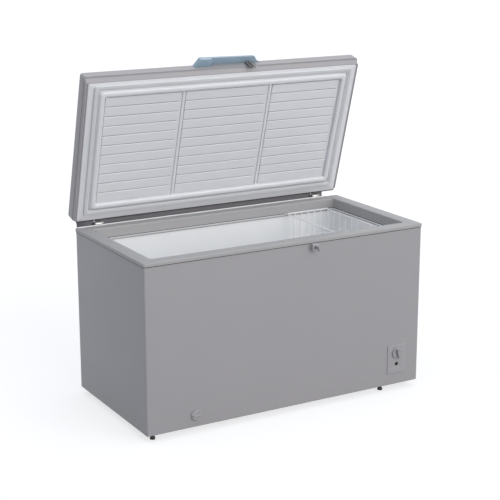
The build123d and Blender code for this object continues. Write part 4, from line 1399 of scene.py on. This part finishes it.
@dataclass
class Drain:
    """Cap of the drain on the front."""

    flange: float = 0.0065  # Thickness of the cap's disc
    edge: float = 0.003  # Rounding of the disc
    dish: float = 0.001  # Depth of the hollow in the disc
    ridge: float = 0.009  # Width of the grip across it
    spigot: float = 0.0079  # Radius of the spigot behind it
    gap: float = 0.0003  # Cabinet to the cap

    def build(self) -> None:
        """Turn the cap, with its ridge and its spigot."""
        low, high, middle, radius = round_of("drain_plug")
        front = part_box("cabinet_wrap")[0].y - self.gap
        base = (middle.x, front, middle.z)
        flange, soft = self.flange, self.edge
        dish = flange - self.dish
        profile = [(radius - 0.0006, 0.0), (radius, 0.0008)]
        profile += [(radius - i, flange + z) for i, z in arc(soft, -soft, soft, 180, 90, 5)]
        profile += [(radius * 0.8, flange), (radius * 0.77, dish), (0.002, dish)]
        cap = turned("cap_disc", profile, base, FRONT, 64)
        half = self.ridge / 2
        reach = radius - half
        deep = low.y + (front - low.y) * 0.8
        grip = grip_bar(
            "cap_grip", (middle.x - reach, low.y, middle.z - half), (middle.x + reach, deep, middle.z + half),
            (0.92, 0.6), 0.002)
        length = high.y - front
        profile = [(self.spigot, 0.0), (self.spigot, length - 0.001), (self.spigot - 0.0009, length)]
        spigot = turned("cap_spigot", profile, base, BACK, 32)
        dress(settle(join("drain_cap_plug", [cap, settle(grip), spigot])), "drain_plug")


@dataclass
class Feet:
    """Levelling feet under the cabinet."""

    pad: float = 0.012  # Radius of the pad
    pad_height: float = 0.014  # Its height
    stud: float = 0.004  # Radius of the stud
    thread: float = 0.0005  # Depth of the thread
    thread_pitch: float = 0.0016  # Height of one turn of the thread

    def build(self) -> None:
        """Turn one foot for each CAD foot."""
        for node in ("front_left_foot", "front_right_foot", "rear_left_foot", "rear_right_foot"):
            low, high, middle, _ = round_of(node)
            height, tall, pad, pitch = high.z - low.z, self.pad_height, self.pad, self.thread_pitch
            root = self.stud - self.thread
            profile = [(pad - 0.001, 0.0), (pad, 0.001), (pad, tall * 0.4), (pad - 0.001, tall * 0.46)]
            profile += [(pad - 0.0008, tall * 0.6), (pad - 0.003, tall - 0.001), (pad - 0.004, tall)]
            profile.append((self.stud, tall))
            for i in range(int((height - tall) / pitch)):
                z = tall + i * pitch
                profile += [(self.stud, z + pitch * 0.3), (root, z + pitch * 0.8)]
            profile.append((root, height))
            foot = turned(f"{node}_turned", profile, (middle.x, middle.y, low.z), UP, 32)
            dress(foot, node)


@dataclass
class Screws:
    """Washer-head screws of the hinges, the vent and the rear cover."""

    washer: float = 0.0055  # Radius of the washer
    head: float = 0.0037  # Radius of the hexagon
    washer_height: float = 0.0011  # Thickness of the washer
    head_height: float = 0.0034  # Height of the hexagon
    bracket_sheet: float = 0.003  # Thickness of a bracket's plate
    bracket_edge: float = 0.009  # Bracket's side to a screw
    bracket_rows: Pair = (0.014, 0.062)  # Heights of the screws on a bracket
    # Rear cover's left, right, lower and upper edge to a screw
    cover_edges: tuple[float, float, float, float] = (0.006, 0.008, 0.01, 0.006)
    vent_edge: float = 0.0046  # Vent's edge to a screw
    vent_scale: float = 0.6  # Size of the vent's screws against the others

    def build(self) -> None:
        """Put a row of screws on each piece that is screwed down."""
        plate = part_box("back_panel")[1].y + self.bracket_sheet
        for side in ("left", "right"):
            low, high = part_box(f"{side}_hinge_bracket")
            xs = (low.x + self.bracket_edge, high.x - self.bracket_edge)
            spots = [(x, plate, low.z + z) for x in xs for z in self.bracket_rows]
            self._row(f"{side}_bracket_screws", spots, BACK, f"{side}_hinge_bracket")
        low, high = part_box("rear_bay_cover")
        left, right, foot, head = self.cover_edges
        xs, zs = (low.x + left, high.x - right), (low.z + foot, high.z - head)
        spots = [(x, high.y, z) for x in xs for z in zs]
        self._row("rear_cover_screws", spots, BACK, "rear_bay_cover")
        low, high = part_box("side_vent")
        edge = self.vent_edge
        ys, zs = (low.y + edge, high.y - edge), (low.z + edge, high.z - edge)
        spots = [(high.x, y, z) for y in ys for z in zs]
        self._row("vent_screws", spots, RIGHT, "side_vent", self.vent_scale)

    def _row(self, name: str, spots: Sequence[tuple], way: tuple, node: str, scale: float = 1.0) -> None:
        """Model one screw and repeat it over a row of places.

        Args:
            name: Name of the piece.
            spots: Points on the surface.
            way: Direction in which the heads stand.
            node: Node that carries them.
            scale: Size against the full screw.
        """
        wide, head = self.washer * scale, self.head * scale
        thin, tall = self.washer_height * scale, self.head_height * scale
        plate = [(wide, -thin), (wide, thin * 0.5), (wide - thin * 0.5, thin), (head, thin)]
        hexagon = [(head, 0.0), (head, tall * 0.8), (head * 0.8, tall)]
        screws = []
        for spot in spots:
            screws.append(turned("washer", plate, spot, way, 24))
            screws.append(turned("hexagon", hexagon, spot, way, 6))
        dress(settle(join(name, screws)), node, slot="hinge_steel", replaces=False)


@dataclass
class Hardware:
    """CAD pieces that keep their shape and get softer edges."""

    fine: float = 0.0004  # Rounding of the smallest pieces
    small: float = 0.0008  # Rounding of most pieces
    wide: float = 0.0015  # Rounding of the compressor
    rail_cut: float = 0.007  # Length taken off the hinge rail's left end
    # Half the width, the depth and the height of the striker's boss
    boss: Triple = (0.019, 0.009, 0.039)
    boss_drop: float = 0.001  # Striker's upper edge to the boss
    boss_rim: float = 0.0025  # Width of the boss's bevelled rim
    boss_dish: float = 0.002  # Depth of the hollow in its face

    def build(self) -> None:
        """Soften the visible nodes and dress every node that is left."""
        widths = {
            "left_hinge_bracket": self.small, "right_hinge_bracket": self.small,
            "left_hinge_leaf": self.small, "right_hinge_leaf": self.small,
            "left_hinge_pin": self.small, "right_hinge_pin": self.small,
            "rear_hinge_rail": self.small, "lock_body": self.small, "lock_barrel": self.fine,
            "lock_key": self.fine, "lock_striker": self.fine, "side_vent": self.small,
            "rear_bay_cover": 0.0, "cord_gland": self.small, "foot_nuts": self.fine,
            "compressor_shell": self.wide, "compressor_bracket": self.small, "relay_cover": self.wide,
            "compressor_grommets": self.small, "discharge_pipe": 0.0, "suction_pipe": 0.0,
            "liquid_pipes": 0.0, "filter_drier": 0.0, "drain_pipe": 0.0,
        }
        for node, width in widths.items():
            piece = softened(node, width)
            if node == "rear_hinge_rail":
                self._trim(piece)
            if node == "lock_barrel":
                piece.data.materials[0] = DARK_NICKEL.material()
        dress(opened(self._boss()), "lock_striker", finish=DARK_NICKEL, replaces=False)
        for node, shown in frame["nodes"].items():
            if not shown.hide_render:
                shown.data.materials.clear()
                shown.data.materials.append(FINISHES[NODE_SLOT[node]].material())
                LOG.info("%s keeps its CAD shape", node)

    def _boss(self) -> Piece:
        """Model the boss that holds the lock's tongue to the lid.

        Returns:
            The boss.
        """
        low, high = shut_box("lock_striker")
        middle = (low.x + high.x) / 2
        half, deep, tall = self.boss
        top = high.z - self.boss_drop
        near = (middle - half, high.y - deep, top - tall)
        boss = block("striker_boss", near, (middle + half, high.y, top))
        with editing(boss):
            pick(boss, "faces", lambda f: facing(f, FRONT))
            bpy.ops.mesh.inset(thickness=self.boss_rim)
            bpy.ops.transform.translate(value=(0, self.boss_dish, 0))
        round_edges(boss, self.small, 2)
        return settle(boss)

    def _trim(self, rail: Piece) -> None:
        """Cut the rail's left end slanting, clear of the cabinet's corner.

        Args:
            rail: The rail.
        """
        low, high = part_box("rear_hinge_rail")
        with editing(rail):
            bpy.ops.mesh.bisect(
                plane_co=(low.x + self.rail_cut, 0, high.z), plane_no=(-1, 0, -0.1),
                clear_outer=True, use_fill=True)


# Studio
@dataclass(frozen=True)
class Lamp:
    """One broad lamp."""

    name: str  # Name of the lamp
    strength: float  # Its strength
    tint: Triple  # Its colour
    way: Triple  # Direction of its light
    soft: float  # Angle over which it spreads, in degrees

    def hang(self) -> None:
        """Hang the lamp in the scene."""
        data = bpy.data.lights.new(self.name, "SUN")
        data.energy = self.strength
        data.color = self.tint
        data.angle = math.radians(self.soft)
        lamp = bpy.data.objects.new(self.name, data)
        lamp.rotation_mode = "QUATERNION"
        lamp.rotation_quaternion = Vector(self.way).to_track_quat("-Z", "Y")
        bpy.context.scene.collection.objects.link(lamp)


@dataclass
class Studio:
    """Camera, lamps, floor and sky."""

    camera: Triple = (-2.937, -5.069, 2.21)  # Place of the camera
    tilt: float = 75.263  # Camera's angle from straight down, in degrees
    swing: float = 30.087  # Camera's turn to the right, in degrees
    lens: float = 96.186  # Focal length on a 36 mm sensor, in millimetres
    floor_size: float = 60.0  # Width of the floor
    floor_colour: tuple[int, int, int] = (172, 172, 174)  # Screen colour of the floor
    floor_lift: float = 0.66  # Glow that lifts the floor to white to the eye
    sky: float = 0.325  # Level of the light from all round
    sky_tint: Triple = (0.91, 0.99, 1.10)  # Colour of that light
    # The main lamp and the one overhead
    lamps: tuple[Lamp, ...] = (
        Lamp("main_lamp", 1.64, (1.0, 0.95, 0.89), (-0.30, 0.90, -0.27), 60.0),
        Lamp("top_lamp", 1.5, (0.97, 1.0, 1.04), (-0.10, 0.15, -1.0), 110.0),
    )

    def build(self) -> None:
        """Set up the view, the light and the floor."""
        scene = bpy.context.scene
        scene.view_settings.view_transform = "Standard"
        self._camera(scene)
        for lamp in self.lamps:
            lamp.hang()
        self._floor()
        self._sky(scene)

    def _camera(self, scene: bpy.types.Scene) -> None:
        """Place the camera at the photograph's point of view.

        Args:
            scene: The scene.
        """
        data = bpy.data.cameras.new("view")
        data.lens = self.lens
        data.clip_end = 200
        camera = bpy.data.objects.new("view", data)
        camera.location = self.camera
        camera.rotation_euler = (math.radians(self.tilt), 0, math.radians(-self.swing))
        scene.collection.objects.link(camera)
        scene.camera = camera

    def _floor(self) -> None:
        """Lay the pale floor."""
        bpy.ops.object.select_all(action="DESELECT")
        bpy.ops.mesh.primitive_plane_add(size=self.floor_size)
        floor = bpy.context.object
        floor.name = "studio_floor"
        made = bpy.data.materials.new("pale_floor")
        made.use_nodes = True
        tree = made.node_tree
        lift = add_node(tree, "MapRange", {"To Max": self.floor_lift, "Value": self._seen(tree)})
        feed(tree, tree.nodes["Principled BSDF"], {
            "Base Color": linear(self.floor_colour), "Roughness": 0.9, "Specular IOR Level": 0.0,
            "Emission Color": WHITE, "Emission Strength": lift.outputs["Result"]})
        floor.data.materials.append(made)

    @staticmethod
    def _seen(tree: Tree) -> Socket:
        """Add a value that is 1 to the eye and in gloss and glass.

        Args:
            tree: Node tree that takes the nodes.

        Returns:
            The value.
        """
        path = add_node(tree, "LightPath", {})
        seen = path.outputs["Is Camera Ray"]
        for name in ("Is Glossy Ray", "Is Transmission Ray"):
            either = add_node(tree, "Math", {0: seen, 1: path.outputs[name]}, operation="MAXIMUM")
            seen = either.outputs["Value"]
        return seen

    def _sky(self, scene: bpy.types.Scene) -> None:
        """Make the sky white to the eye and in gloss, and softer as light.

        Args:
            scene: The scene.
        """
        world = bpy.data.worlds.new("studio_sky")
        scene.world = world
        world.use_nodes = True
        tree = world.node_tree
        light = (*(self.sky * part for part in self.sky_tint), 1.0)
        colour = add_node(tree, "Mix", {"A": light, "B": WHITE, "Factor": self._seen(tree)}, data_type="RGBA")
        feed(tree, tree.nodes["Background"], {"Color": colour.outputs["Result"]})


def main() -> None:
    """Build every sub-assembly in order."""
    logging.basicConfig(level=logging.INFO, format="%(name)s: %(message)s")
    cabinet = Cabinet()
    cabinet.build()
    Lid().build(cabinet.plan())
    Handle().build()
    Basket().build()
    Controls().build()
    Drain().build()
    Feet().build()
    Screws().build()
    Hardware().build()
    Studio().build()


if __name__ == "__main__":
    main()
